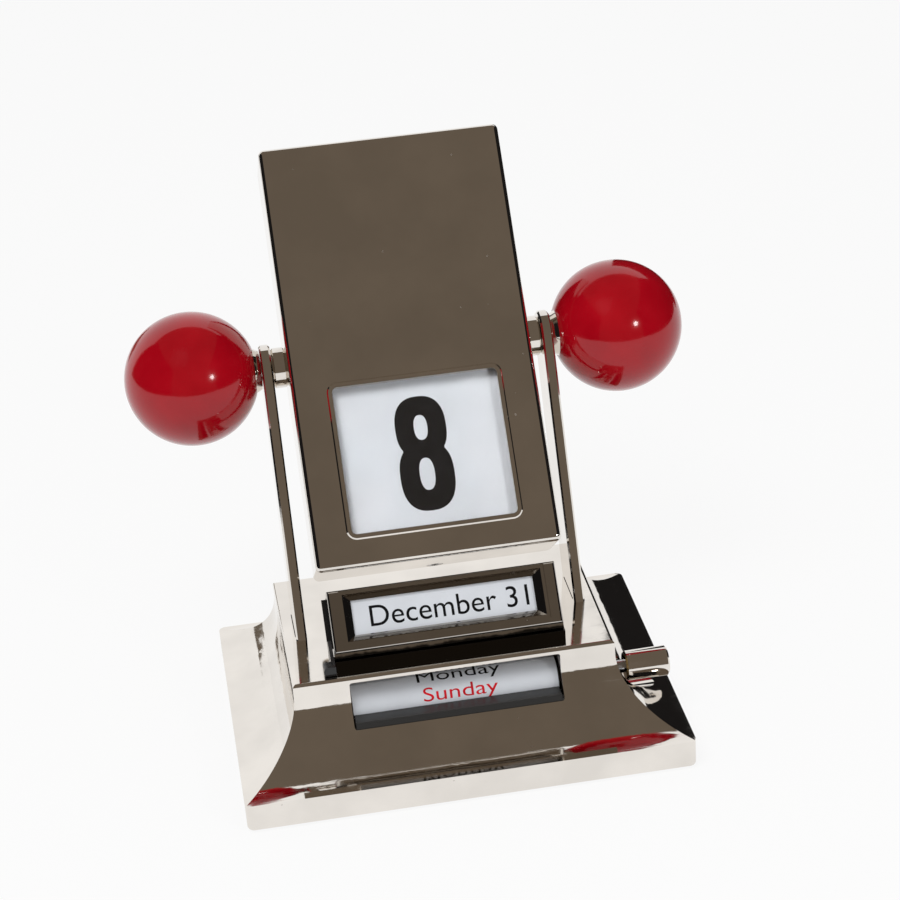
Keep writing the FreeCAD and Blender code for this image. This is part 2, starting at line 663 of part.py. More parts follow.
def collar(side):
    ring = rod_x(COLLAR_R, CASE_HALF_X, CASE_HALF_X + COLLAR_LENGTH)
    outer = edges_where(ring, lambda e: e.BoundBox.XMax - e.BoundBox.XMin < 1e-4)
    ring = ring.makeChamfer(COLLAR_EDGE, outer).cut(rod_x(AXLE_R + PRESS_GAP, 0, BALL_X))
    return to_case(mirror_side(ring, side))


def washer(side):
    ring = Part.makeCone(WASHER_OUTER_R, WASHER_R, WASHER_THICK, V(WASHER_X, 0, 0), V(1, 0, 0))
    ring = ring.cut(rod_x(AXLE_R + PRESS_GAP, 0, BALL_X))
    return to_case(mirror_side(ring, side))


def ball(side):
    sphere = Part.makeSphere(BALL_R, V(BALL_X, 0, 0), V(1, 0, 0))
    sphere = sphere.cut(box(0, BALL_FACE_X, -BALL_R, BALL_R, -BALL_R, BALL_R))
    sphere = sphere.cut(rod_x(INSERT_R + PRESS_GAP, 0, BALL_FACE_X + INSERT_LENGTH + GUIDE_GAP))
    return to_case(mirror_side(sphere, side))


def ball_insert(side):
    sleeve = rod_x(INSERT_R, BALL_FACE_X + PRESS_GAP, BALL_FACE_X + INSERT_LENGTH)
    sleeve = sleeve.cut(rod_x(STUD_R + PRESS_GAP, 0, BALL_FACE_X + INSERT_LENGTH - INSERT_END))
    return to_case(mirror_side(sleeve, side))


# Month holder

def holder_back_y():
    """Where the leaning back of the holder meets the top of the base."""
    top = lean_point(HOLDER_LENGTH, HOLDER_DEPTH)
    return top[0] - (top[1] - TOP_Z) * math.tan(math.radians(CASE_LEAN))


def holder_screw_y():
    return holder_back_y() + LUG_REACH - LUG_WIDTH / 2


def lean_point(along, behind):
    """Place in (y, z) of a point up the holder's slope and behind its front plane."""
    a = math.radians(CASE_LEAN)
    return (HOLDER_FOOT_Y + along * math.sin(a) + behind * math.cos(a),
            TOP_Z + along * math.cos(a) - behind * math.sin(a))


def month_holder():
    a = math.radians(CASE_LEAN)
    step_z = TOP_Z + HOLDER_STEP_HEIGHT
    meet = (HOLDER_FOOT_Y + HOLDER_STEP_HEIGHT * math.tan(a), step_z)
    top_front = lean_point(HOLDER_LENGTH, 0)
    top_back = lean_point(HOLDER_LENGTH, HOLDER_DEPTH)
    foot_back = holder_back_y()
    outline = [(HOLDER_FOOT_Y, TOP_Z), (HOLDER_FOOT_Y, step_z), meet, top_front, top_back,
               (foot_back, TOP_Z)]
    half = HOLDER_WIDTH / 2
    body = polygon_x(outline, -half, half)
    frame = box(-half, half, -BEZEL_RAISED, FRONT_LIP / 2, BEZEL_START, HOLDER_LENGTH)
    rounded = edges_where(frame, lambda e: e.BoundBox.YMax < -BEZEL_RAISED + 1e-4)
    frame = frame.makeFillet(BEZEL_EDGE_R, rounded)
    body = body.fuse(to_holder(frame)).removeSplitter()
    label_half_w, label_half_h = LABEL_WIDTH / 2, LABEL_HEIGHT / 2
    mould_x, mould_z = label_half_w + MOULD_WIDTH, label_half_h + MOULD_HEIGHT
    mould = box(-mould_x, mould_x, -THROUGH, -MOULD_FLOOR, LABEL_MIDDLE - mould_z,
                LABEL_MIDDLE + mould_z)
    low = [V(-label_half_w, MOULD_DEPTH, LABEL_MIDDLE - label_half_h),
           V(label_half_w, MOULD_DEPTH, LABEL_MIDDLE - label_half_h),
           V(label_half_w, MOULD_DEPTH, LABEL_MIDDLE + label_half_h),
           V(-label_half_w, MOULD_DEPTH, LABEL_MIDDLE + label_half_h)]
    high = [V(p.x + math.copysign(MOULD_BEVEL, p.x), -MOULD_FLOOR,
              p.z + math.copysign(MOULD_BEVEL_HEIGHT, p.z - LABEL_MIDDLE)) for p in low]
    bevel = Part.makeLoft([Part.makePolygon(low + low[:1]), Part.makePolygon(high + high[:1])],
                          True, True)
    sight = box(-label_half_w, label_half_w, 0, FRONT_LIP + THROUGH, LABEL_MIDDLE - label_half_h,
                LABEL_MIDDLE + label_half_h)
    pocket = box(-half - THROUGH, CARD_WIDTH / 2 + CARD_GAP, FRONT_LIP, POCKET_BACK,
                 POCKET_LOW, POCKET_HIGH)
    for cutter in (mould, bevel, sight, pocket):
        body = body.cut(to_holder(cutter))
    for sx in (-1, 1):
        x = sx * HOLDER_SCREW_X
        lug = box(x - LUG_WIDTH / 2, x + LUG_WIDTH / 2, foot_back + LUG_ROOT, foot_back + LUG_REACH,
                  TOP_Z, TOP_Z + LUG_THICK)
        ends = edges_where(lug, lambda e: e.BoundBox.ZMax - e.BoundBox.ZMin > LUG_THICK / 2
                           and e.BoundBox.YMin > foot_back + THROUGH)
        lug = lug.makeFillet(LUG_CORNER_R, ends)
        body = body.fuse(lug).removeSplitter()
        body = body.cut(rod_z(SMALL_SCREW_R + SCREW_CLEAR, TOP_Z - THROUGH, TOP_Z + LUG_THICK + THROUGH,
                              x, holder_screw_y()))
    return body


def holder_screws():
    screws = []
    z_head = TOP_Z + LUG_THICK
    for sx in (-1, 1):
        x, y = sx * HOLDER_SCREW_X, holder_screw_y()
        head = rod_z(SMALL_HEAD_R, z_head, z_head + SMALL_HEAD_HEIGHT, x, y)
        crown = edges_where(head, lambda e: e.BoundBox.ZMin > z_head + SMALL_HEAD_HEIGHT / 2)
        head = head.makeChamfer(LUG_HEAD_EDGE, crown)
        shape = head.fuse(rod_z(SMALL_SCREW_R, TOP_Z - LUG_SCREW_DEPTH, z_head, x, y)).removeSplitter()
        screws.append(shape)
    return Part.makeCompound(screws)


def card_tray():
    """Floor and back behind the cards, a link round the holder's end and a thumb tab in front."""
    g = CARD_GAP / 2
    low, high = POCKET_LOW + g, POCKET_HIGH - g
    front, back = FRONT_LIP + g, POCKET_BACK - g
    link_x1 = -HOLDER_WIDTH / 2 - SLIDE_GAP
    link_x0 = link_x1 - LINK_THICK
    right = CARD_WIDTH / 2 + g
    floor = box(link_x0, right, front, back, low, low + TRAY_FLOOR - g)
    wall = box(link_x0, right, back - TRAY_BACK, back, low, high)
    tray = to_holder(floor.fuse(wall).removeSplitter())
    z0 = TOP_Z + TAB_LIFT
    z1 = z0 + TAB_HEIGHT
    tab_front = HOLDER_FOOT_Y - TAB_FORWARD
    tab_back = tab_front + TAB_DEPTH
    bottom_back = lean_point(low, back)
    link = polygon_x([(tab_front + TAB_CORNER_R, z0), (tab_back, z1), lean_point(low + LINK_HEIGHT, front),
                      lean_point(low + LINK_HEIGHT, back), bottom_back, (bottom_back[0], z0)],
                     link_x0, link_x1)
    tab = box(link_x0 - TAB_WIDTH, link_x0, tab_front, tab_back, z0, z1)
    corner = edges_where(tab, lambda e: e.BoundBox.YMax - e.BoundBox.YMin > THROUGH
                         and e.BoundBox.ZMin > z1 - THROUGH and e.BoundBox.XMax < link_x0 - THROUGH)
    tab = tab.makeFillet(TAB_CORNER_R, corner)
    foot = box(link_x0, link_x1, tab_front, tab_back, z0, z1)
    return tray.fuse([link, foot, tab]).removeSplitter()


def month_card(index):
    y0 = FRONT_LIP + CARD_GAP / 2 + index * CARD_PITCH
    z0 = LABEL_MIDDLE - CARD_HEIGHT / 2
    card = box(-CARD_WIDTH / 2, CARD_WIDTH / 2, y0, y0 + CARD_THICK, z0, z0 + CARD_HEIGHT)
    return to_holder(card)


def month_cards():
    return Part.makeCompound([month_card(i) for i in range(1, CARD_COUNT)])


# Weekday drum

def weekday_drum():
    half = DRUM_LENGTH / 2
    core = rod_x(DRUM_R, -half, half, DRUM_Y, DRUM_Z)
    core = core.cut(rod_x(WEEK_SHAFT_R + PRESS_GAP, -half - THROUGH, half + THROUGH, DRUM_Y, DRUM_Z))
    for side in (-1, 1):
        x0, x1 = half - DRUM_HOLLOW, half + THROUGH
        ring = rod_x(DRUM_R - DRUM_RIM, x0, x1, DRUM_Y, DRUM_Z)
        ring = ring.cut(rod_x(WEEK_SHAFT_R + DRUM_HUB_WALL, x0, x1, DRUM_Y, DRUM_Z))
        core = core.cut(mirror_side(ring, side))
    return core


def weekday_band():
    half = DRUM_LENGTH / 2
    band = rod_x(BAND_R, -half, half, DRUM_Y, DRUM_Z)
    return band.cut(rod_x(DRUM_R + PRESS_GAP, -half - THROUGH, half + THROUGH, DRUM_Y, DRUM_Z))


def weekday_shaft():
    return rod_x(WEEK_SHAFT_R, SHAFT_START_X + SHAFT_END_GAP, KNOB_END_X - KNOB_CAP - KNOB_EDGE,
                 DRUM_Y, DRUM_Z)


def weekday_bush():
    x0 = DRUM_LENGTH / 2 + BUSH_START
    sleeve = rod_x(BORE_R - PRESS_GAP, x0, x0 + BUSH_LENGTH, DRUM_Y, DRUM_Z)
    return sleeve.cut(rod_x(WEEK_SHAFT_R + RUN_GAP, x0 - THROUGH, x0 + BUSH_LENGTH + THROUGH,
                            DRUM_Y, DRUM_Z))


def spring_washer():
    """Springy ring that keeps the drum where it is turned to."""
    x0 = DRUM_LENGTH / 2 + SLIDE_GAP
    ring = rod_x(DRUM_R - SPRING_INSET, x0, x0 + SPRING_THICK, DRUM_Y, DRUM_Z)
    return ring.cut(rod_x(WEEK_SHAFT_R + SPRING_CLEAR, x0 - THROUGH, x0 + SPRING_THICK + THROUGH,
                          DRUM_Y, DRUM_Z))


def weekday_knob():
    x1 = KNOB_END_X
    knob = rod_x(KNOB_R, x1 - KNOB_LENGTH, x1, DRUM_Y, DRUM_Z)
    ends = edges_where(knob, lambda e: e.BoundBox.XMax - e.BoundBox.XMin < 1e-4)
    knob = knob.makeChamfer(KNOB_EDGE, ends)
    knob = knob.cut(rod_x(WEEK_SHAFT_R + PRESS_GAP, x1 - KNOB_LENGTH - THROUGH, x1 - KNOB_CAP,
                          DRUM_Y, DRUM_Z))
    grub = Part.makeCylinder(GRUB_R + PRESS_GAP, KNOB_R + THROUGH, V(x1 - GRUB_PLACE, DRUM_Y, DRUM_Z),
                             V(0, 1, 0))
    return knob.cut(grub)


def knob_grub_screw():
    start = WEEK_SHAFT_R + PRESS_GAP
    return Part.makeCylinder(GRUB_R, KNOB_R - start - GRUB_SINK,
                             V(KNOB_END_X - GRUB_PLACE, DRUM_Y + start, DRUM_Z), V(0, 1, 0))


def build():
    nodes = {
        "base_casting": base_casting(),
        "base_plate": base_plate(),
        "base_felt": base_felt(),
        "base_screws": base_screws(),
        "upright_screws": upright_screws(),
        "case_front": case_front(),
        "case_back": case_back(),
        "case_screws": case_screws(),
        "front_pane": window_pane(False),
        "back_pane": window_pane(True),
        "front_date_plate": date_plate(0),
        "date_plates": date_plates(),
        "month_holder": month_holder(),
        "holder_screws": holder_screws(),
        "card_tray": card_tray(),
        "front_month_card": month_card(0),
        "month_cards": month_cards(),
        "weekday_drum": weekday_drum(),
        "weekday_band": weekday_band(),
        "weekday_shaft": weekday_shaft(),
        "weekday_bush": weekday_bush(),
        "spring_washer": spring_washer(),
        "weekday_knob": weekday_knob(),
        "knob_grub_screw": knob_grub_screw(),
    }
    for name, side in SIDES:
        nodes[name + "_upright"] = upright(side)
        nodes[name + "_bush"] = upright_bush(side)
        nodes[name + "_guide"] = side_guide(side)
        nodes[name + "_axle"] = stub_axle(side)
        nodes[name + "_collar"] = collar(side)
        nodes[name + "_washer"] = washer(side)
        nodes[name + "_ball"] = ball(side)
        nodes[name + "_ball_insert"] = ball_insert(side)
    return nodes


os.makedirs("parts", exist_ok=True)
for node, shape in build().items():
    if not shape.isValid():
        print("not valid:", node)
    print(node, len(shape.Solids), round(shape.Volume, 2))
    shape.exportStep("parts/" + node + ".step")
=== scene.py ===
# Visual model of a perpetual desk calendar, in metres.
# X runs along the axle, +Y points to the back, +Z is up, as in the CAD frame.

import math

import bmesh
import bpy
from mathutils import Matrix, Vector


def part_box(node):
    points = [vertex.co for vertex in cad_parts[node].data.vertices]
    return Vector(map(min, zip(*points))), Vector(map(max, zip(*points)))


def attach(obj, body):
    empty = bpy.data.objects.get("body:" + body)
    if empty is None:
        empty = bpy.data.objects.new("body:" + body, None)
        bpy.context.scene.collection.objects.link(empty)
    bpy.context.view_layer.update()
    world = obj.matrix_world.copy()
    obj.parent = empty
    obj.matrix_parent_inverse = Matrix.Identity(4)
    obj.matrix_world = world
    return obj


bl_info = {
    "name": "Perpetual Desk Calendar",
    "version": (1, 0, 0),
    "blender": (4, 5, 0),
    "location": "View3D > Sidebar > Calendar",
    "description": "Finishes, lettering and small parts of a flip desk calendar",
    "category": "Object",
}

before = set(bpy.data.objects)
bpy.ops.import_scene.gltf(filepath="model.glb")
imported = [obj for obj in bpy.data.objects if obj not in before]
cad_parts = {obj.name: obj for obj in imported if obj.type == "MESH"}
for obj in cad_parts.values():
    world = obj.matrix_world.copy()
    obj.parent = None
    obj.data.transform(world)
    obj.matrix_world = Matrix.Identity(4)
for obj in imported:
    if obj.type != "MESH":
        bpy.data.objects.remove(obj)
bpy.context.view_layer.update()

MM = 0.001

# Camera, fitted to the corners of the case and the base. Lens and sensor are in millimetres.
CAMERA_PLACE = Vector((-0.054844, -0.466506, 0.309088))
CAMERA_PITCH = math.radians(27.233)
CAMERA_YAW = math.radians(7.288)
CAMERA_ROLL = math.radians(4.13)
CAMERA_LENS, CAMERA_SENSOR, CAMERA_NEAR = 96.0, 36.0, 0.01

# Where the case and the weekday drum stand in the frame
CASE_LEAN = math.radians(36.7)
AXLE_LOW, AXLE_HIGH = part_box("left_axle")
AXLE = Vector((0.0, (AXLE_LOW.y + AXLE_HIGH.y) / 2, (AXLE_LOW.z + AXLE_HIGH.z) / 2))
SHAFT_LOW, SHAFT_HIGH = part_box("weekday_shaft")
DRUM = Vector((0.0, (SHAFT_LOW.y + SHAFT_HIGH.y) / 2, (SHAFT_LOW.z + SHAFT_HIGH.z) / 2))
BAND_LOW, BAND_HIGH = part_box("weekday_band")
BAND_R = (BAND_HIGH.z - BAND_LOW.z) / 2
TO_CASE = Matrix.Translation(AXLE) @ Matrix.Rotation(-CASE_LEAN, 4, "X")

# Printed numeral, words and rows. Shares are of a letter's size, or of half the numeral's.
PRINT_LIFT = 0.02 * MM
PRINT_STRIPS = 16
CAP_SHARE = 0.69
NUMERAL_X, NUMERAL_DROP = 0.1 * MM, -1.8 * MM
NUMERAL_WEIGHT = 0.03
BOWL_POINTS = 40
EIGHT_STEPS = 120
EIGHT_WAIST, EIGHT_NOTCH_HEIGHT, EIGHT_NOTCH_DEPTH = 0.06, 0.10, 0.02
# Each bowl: half width, low end, high end, and fullness, where 1 is an ellipse
EIGHT_UPPER = (0.94, -0.10, 1.0, 0.80)
EIGHT_LOWER = (1.0, -1.0, 0.22, 0.80)
EIGHT_UPPER_HOLE = (0.25, 0.235, 0.67, 0.85)
EIGHT_LOWER_HOLE = (0.28, -0.64, -0.08, 0.85)
MONTH_WORDS_X = 1.7 * MM
WEEKDAYS = (("Sunday", "red_ink"), ("Monday", "black_ink"), ("Tuesday", "black_ink"),
            ("Wednesday", "black_ink"), ("Thursday", "black_ink"), ("Friday", "black_ink"),
            ("Saturday", "black_ink"))
# Angle of the first row's baseline above the drum's front
WEEKDAY_FIRST_TURN = math.radians(14)
WEEKDAY_X = 1.0 * MM
WEEKDAY_STRETCH = 1.35

# Painted shade: a black strip on the sill of the weekday window, where the drum shades it:
# corners of its profile, as Y and Z
SHADE_STRIP_PROFILE = ((-22.80 * MM, 12.72 * MM), (-18.35 * MM, 12.72 * MM),
                 (-18.35 * MM, 13.75 * MM), (-21.90 * MM, 13.75 * MM))
SHADE_STRIP_ROUNDING = 0.12 * MM

# Screw drives, as flat black crosses: the drive is real, its black is painted shade of the
# recess. Columns: name, CAD node with the heads, body, slot, and where the heads face
DRIVE_LENGTH, DRIVE_WIDTH, DRIVE_DEPTH = 1.7 * MM, 0.34 * MM, 0.05 * MM
# A head's outer ring is at least this share of its screw's widest radius
HEAD_SHARE = 0.7
HEAD_MERGE, HEAD_RING = 0.001 * MM, 0.02 * MM
CASE_DOWN = Vector((0, -math.sin(CASE_LEAN), -math.cos(CASE_LEAN)))
SCREW_HEADS = (
    ("base_screw_drives", "base_screws", "root", "steel_screws", Vector((0, 0, -1))),
    ("holder_screw_drives", "holder_screws", "root", "steel_screws", Vector((0, 0, 1))),
    ("lower_case_drive", "case_screws", "flip_case", "steel_screws", CASE_DOWN),
    ("upper_case_drive", "case_screws", "flip_case", "steel_screws", -CASE_DOWN),
)

# Finishes. A node named here has a finish of its own, and every other node that of its slot.
NODE_FINISH = {"month_holder": "holder_plating"}
# Painted shade on the holder: its plating darker than the rest, and darker once more below a
# height above the floor
HOLDER_PAINTED_SHADE = 0.62
PAINTED_SHADE_HEIGHT = 26.4 * MM
PAINTED_SHADE_SHARE = 0.10
STEEL = (0.55, 0.55, 0.56, 1)
BRASS = (0.70, 0.50, 0.22, 1)
FELT = (0.02, 0.024, 0.02, 1)
PLASTIC_WHITE = (0.78, 0.78, 0.78, 1)
PLASTIC_BLACK = (0.012, 0.012, 0.013, 1)
PLASTIC_GREY = (0.03, 0.03, 0.03, 1)
# Painted shade of the screw drive recesses
PAINTED_RECESS_SHADE = (0.01, 0.01, 0.01, 1)
PANE_TINT = (0.97, 0.985, 0.99, 1)
WHITE = (1, 1, 1, 1)

# Stage. Cards are seen by reflections: name, middle, facing, width, height, tone.
FLOOR_SIZE = 6.0
FLOOR_WHITE_SHARE = 0.88
CARDS = (
    ("front_card", (0.05, -0.95, 0.48), (0, 1, 0), 1.80, 1.10, "front"),
    ("roof_card", (0.00, -0.17, 1.00), (0, 0, -1), 1.80, 1.64, "front"),
    ("far_right_card", (0.26, 0.36, 0.15), (-0.5, -0.86, -0.1), 0.30, 0.32, "dark"),
    ("right_card", (0.75, -0.20, 0.50), (-1, 0, 0), 1.60, 1.10, "dark"),
    ("back_left_card", (-0.20, 0.40, 0.045), (0.45, -0.88, 0), 0.12, 0.08, "front"),
    ("left_card", (-0.80, -0.25, 0.50), (1, 0, 0), 1.60, 1.10, "dark"),
)
# Lamps: name, place, share of the stage's lamp power, width, seen in reflections
LAMPS = (
    ("lamp_above", (-0.25, -0.30, 0.75), 1.15, 0.40, False),
    ("lamp_highlight", (0.24, -0.37, 0.25), 0.12, 0.06, True),
)
LAMP_AIM = Vector((0, 0, 0.05))


def lean_coordinates(point):
    """A point of the frame in the case's own axes: across, behind, along."""
    return TO_CASE.inverted() @ point


def leaning_box(node):
    """Corners of a leaning node in the case's own axes."""
    points = [lean_coordinates(v.co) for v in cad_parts[node].data.vertices]
    low = Vector((min(p[i] for p in points) for i in range(3)))
    high = Vector((max(p[i] for p in points) for i in range(3)))
    return low, high


# Sizes and colours that a user would change

class CalendarLettering(bpy.types.PropertyGroup):
    day_number: bpy.props.StringProperty(
        name="Day", description="Number on the front date plate", default="8")
    day_height: bpy.props.FloatProperty(
        name="Day height", description="Height of the date numeral", default=26.2 * MM,
        min=5 * MM, max=30 * MM, unit="LENGTH")
    day_width: bpy.props.FloatProperty(
        name="Day width", description="Width of the date numeral", default=12.3 * MM,
        min=3 * MM, max=36 * MM, unit="LENGTH")
    month_words: bpy.props.StringProperty(
        name="Month card", description="Words on the front month card", default="December 31")
    month_height: bpy.props.FloatProperty(
        name="Month height", description="Height of the capitals on the month card",
        default=4.7 * MM, min=1 * MM, max=7 * MM, unit="LENGTH")
    weekday_height: bpy.props.FloatProperty(
        name="Weekday height", description="Height of the capitals on the drum",
        default=3.1 * MM, min=1 * MM, max=4 * MM, unit="LENGTH")
    ink: bpy.props.FloatVectorProperty(
        name="Black ink", description="Colour of the printed letters", subtype="COLOR",
        size=4, min=0, max=1, default=(0.006, 0.006, 0.007, 1))
    red_ink: bpy.props.FloatVectorProperty(
        name="Red ink", description="Colour of the day of rest", subtype="COLOR",
        size=4, min=0, max=1, default=(0.62, 0.01, 0.02, 1))


class CalendarFinish(bpy.types.PropertyGroup):
    nickel: bpy.props.FloatVectorProperty(
        name="Nickel", description="Colour of the polished plating", subtype="COLOR",
        size=4, min=0, max=1, default=(0.80, 0.76, 0.71, 1))
    ball: bpy.props.FloatVectorProperty(
        name="Ball", description="Colour of the two handle balls", subtype="COLOR",
        size=4, min=0, max=1, default=(0.42, 0.001, 0.008, 1))
    white: bpy.props.FloatVectorProperty(
        name="White", description="Colour of the date plates and cards", subtype="COLOR",
        size=4, min=0, max=1, default=(0.80, 0.83, 0.88, 1))
    scratch_depth: bpy.props.FloatProperty(
        name="Scratch depth", description="Depth of the hairline scratches in the plating",
        default=0.05, min=0, max=1, subtype="FACTOR")
    smudge: bpy.props.FloatProperty(
        name="Smudges", description="Roughness added by finger marks",
        default=0.06, min=0, max=0.5, subtype="FACTOR")


class CalendarStage(bpy.types.PropertyGroup):
    floor: bpy.props.FloatVectorProperty(
        name="Floor", description="Colour of the floor", subtype="COLOR",
        size=4, min=0, max=1, default=(0.92, 0.92, 0.92, 1))
    front_card: bpy.props.FloatVectorProperty(
        name="Front card", description="Colour of the card that the leaning faces mirror",
        subtype="COLOR", size=4, min=0, max=1, default=(0.145, 0.116, 0.088, 1))
    dark_card: bpy.props.FloatVectorProperty(
        name="Dark card", description="Colour of the side cards", subtype="COLOR",
        size=4, min=0, max=1, default=(0.012, 0.011, 0.011, 1))
    sky: bpy.props.FloatProperty(
        name="Surroundings", description="Strength of the even light around the object",
        default=0.5, min=0, max=3)
    lamp: bpy.props.FloatProperty(
        name="Lamp", description="Power of the soft lamp above", default=2.0, min=0,
        max=100, unit="POWER")


# Materials

class Finish:
    """A node material with the few steps that every finish here needs."""

    def __init__(self, name):
        self.material = bpy.data.materials.new(name)
        self.material.use_nodes = True
        self.tree = self.material.node_tree
        self.shader = self.tree.nodes["Principled BSDF"]
        self.output = self.tree.nodes["Material Output"]
        self.place = self.node("ShaderNodeTexCoord").outputs["Object"]

    def node(self, kind, inputs=None, **settings):
        made = self.tree.nodes.new(kind)
        for key, value in settings.items():
            setattr(made, key, value)
        for key, value in (inputs or {}).items():
            made.inputs[key].default_value = value
        return made

    def link(self, source, target):
        self.tree.links.new(source, target)

    def set(self, **values):
        for key, value in values.items():
            self.shader.inputs[key.replace("_", " ")].default_value = value

    def noise(self, scale, detail=4.0, roughness=0.55, stretch=None, seed=0.0):
        source = self.place
        if stretch is not None or seed:
            mapping = self.node("ShaderNodeMapping")
            mapping.inputs["Scale"].default_value = stretch or (1, 1, 1)
            mapping.inputs["Location"].default_value = (seed, seed * 0.7, seed * 1.3)
            self.link(source, mapping.inputs["Vector"])
            source = mapping.outputs["Vector"]
        texture = self.node("ShaderNodeTexNoise",
                            {"Scale": scale, "Detail": detail, "Roughness": roughness})
        self.link(source, texture.inputs["Vector"])
        return texture.outputs["Fac"]

    def spread(self, source, low, high, to_low, to_high):
        """Maps low..high of a texture to a range of values."""
        ranged = self.node("ShaderNodeMapRange", {"From Min": low, "From Max": high,
                                                  "To Min": to_low, "To Max": to_high})
        self.link(source, ranged.inputs["Value"])
        return ranged.outputs["Result"]

    def tint(self, source, low, high, at=(0.35, 0.65)):
        """Colour that moves between two shades with a texture."""
        ramp = self.node("ShaderNodeValToRGB")
        ramp.color_ramp.elements[0].position, ramp.color_ramp.elements[1].position = at
        ramp.color_ramp.elements[0].color = low
        ramp.color_ramp.elements[1].color = high
        self.link(source, ramp.inputs["Fac"])
        self.link(ramp.outputs["Color"], self.shader.inputs["Base Color"])

    def specks(self, density, reach, seed):
        """Scattered dust specks, as a mask from 0 to 1."""
        mapping = self.node("ShaderNodeMapping")
        mapping.inputs["Location"].default_value = (seed, seed * 0.3, seed * 0.7)
        self.link(self.place, mapping.inputs["Vector"])
        cells = self.node("ShaderNodeTexVoronoi", {"Scale": density})
        self.link(mapping.outputs["Vector"], cells.inputs["Vector"])
        return self.spread(cells.outputs["Distance"], reach * 0.5, reach, 1.0, 0.0)

    def darken_below(self, height, share):
        """Painted shade: multiplies the colour below a height, with an uneven edge."""
        split = self.node("ShaderNodeSeparateXYZ")
        self.link(self.place, split.inputs[0])
        uneven = self.spread(self.noise(350, detail=4), 0.3, 0.7, -0.25 * MM, 0.25 * MM)
        level = self.spread(self.add(split.outputs["Z"], uneven),
                            height - 0.15 * MM, height + 0.15 * MM, share, 1.0)
        base = self.shader.inputs["Base Color"]
        source = base.links[0].from_socket
        scaled = self.node("ShaderNodeVectorMath", operation="SCALE")
        self.link(source, scaled.inputs[0])
        self.link(level, scaled.inputs["Scale"])
        self.link(scaled.outputs["Vector"], base)

    def bump(self, source, strength, distance, under=None):
        relief = self.node("ShaderNodeBump", {"Strength": strength, "Distance": distance})
        self.link(source, relief.inputs["Height"])
        if under is not None:
            self.link(under, relief.inputs["Normal"])
        return relief.outputs["Normal"]

    def hairlines(self, turn, density, seed):
        """Thin straight scratches at one angle, as a mask from 0 to 1."""
        mapping = self.node("ShaderNodeMapping")
        mapping.inputs["Rotation"].default_value = (turn, turn * 0.6, turn * 1.7)
        mapping.inputs["Location"].default_value = (seed, seed, seed)
        mapping.inputs["Scale"].default_value = (1, 45, 45)
        self.link(self.place, mapping.inputs["Vector"])
        texture = self.node("ShaderNodeTexNoise", {"Scale": density, "Detail": 2.0})
        self.link(mapping.outputs["Vector"], texture.inputs["Vector"])
        return self.spread(texture.outputs["Fac"], 0.66, 0.72, 0.0, 1.0)

    def add(self, first, second):
        both = self.node("ShaderNodeMath", operation="ADD")
        self.link(first, both.inputs[0])
        self.link(second, both.inputs[1])
        return both.outputs["Value"]


def shade(colour, factor):
    """A colour made darker or lighter, opaque."""
    return tuple(min(1.0, c * factor) for c in colour[:3]) + (1.0,)


def nickel_finish(name, colour, wear, smudge, scratch_depth, painted_shade_height=None):
    """Polished plating: faint orange peel, hairlines, finger marks and a little tarnish.

    With a height given, the plating below it is darkened as painted shade, where the recess lies
    in shade.
    """
    f = Finish(name)
    f.set(Metallic=1.0)
    marks = f.noise(95, detail=5, seed=wear)
    fine = f.noise(900, detail=3, seed=wear + 2)
    f.tint(f.noise(60, detail=3, seed=wear + 5), shade(colour, 0.93), shade(colour, 1.03))
    # Painted shade: the plating below a height drawn near-black, where the recess lies in shade
    if painted_shade_height is not None:
        f.darken_below(painted_shade_height, PAINTED_SHADE_SHARE)
    lines = f.add(f.hairlines(0.5, 60, wear), f.hairlines(-0.9, 45, wear + 3))
    rough = f.add(f.spread(marks, 0.52, 0.74, 0.035, 0.035 + smudge),
                  f.spread(fine, 0.3, 0.7, 0.0, 0.025))
    rough = f.add(rough, f.spread(lines, 0.0, 2.0, 0.0, 0.12))
    rough = f.add(rough, f.spread(f.specks(140, 0.045, wear), 0.0, 1.0, 0.0, 0.55))
    f.link(rough, f.shader.inputs["Roughness"])
    peel = f.bump(f.noise(220, detail=2, seed=wear + 1), 0.08, 0.02 * MM)
    scored = f.bump(lines, scratch_depth, 0.01 * MM, peel)
    f.link(scored, f.shader.inputs["Normal"])
    return f.material


def turned_metal(name, colour, roughness):
    """Turned or ground metal with fine rings round X."""
    f = Finish(name)
    f.set(Metallic=1.0)
    rings = f.noise(900, detail=2, stretch=(1, 0.02, 0.02))
    f.tint(f.noise(120), shade(colour, 0.85), colour)
    f.link(f.spread(rings, 0.3, 0.7, roughness * 0.7, roughness * 1.4),
           f.shader.inputs["Roughness"])
    f.link(f.bump(rings, 0.25, 0.03 * MM), f.shader.inputs["Normal"])
    return f.material


def ball_finish(name, colour):
    """Deep gloss: polished moulding with swirl marks and a trace of dust."""
    f = Finish(name)
    f.set(Coat_Weight=0.35, Coat_Roughness=0.03, Specular_IOR_Level=0.3)
    f.tint(f.noise(70, detail=3), shade(colour, 0.86), shade(colour, 1.06))
    swirl = f.add(f.hairlines(1.2, 70, 2), f.hairlines(-0.4, 55, 7))
    rough = f.add(f.spread(f.noise(140, detail=5), 0.4, 0.75, 0.10, 0.20),
                  f.spread(swirl, 0.0, 2.0, 0.0, 0.15))
    f.link(rough, f.shader.inputs["Roughness"])
    f.link(f.bump(swirl, 0.05, 0.01 * MM, f.bump(f.noise(160, detail=2), 0.05, 0.04 * MM)),
           f.shader.inputs["Normal"])
    return f.material


def moulded_finish(name, colour, roughness, grain=420):
    """Moulded plastic with a fine grain and uneven gloss."""
    f = Finish(name)
    f.tint(f.noise(90, detail=4), shade(colour, 0.93), colour)
    f.link(f.spread(f.noise(260, detail=4), 0.35, 0.7, roughness * 0.8, roughness * 1.25),
           f.shader.inputs["Roughness"])
    f.link(f.bump(f.noise(grain, detail=3), 0.12, 0.04 * MM), f.shader.inputs["Normal"])
    return f.material


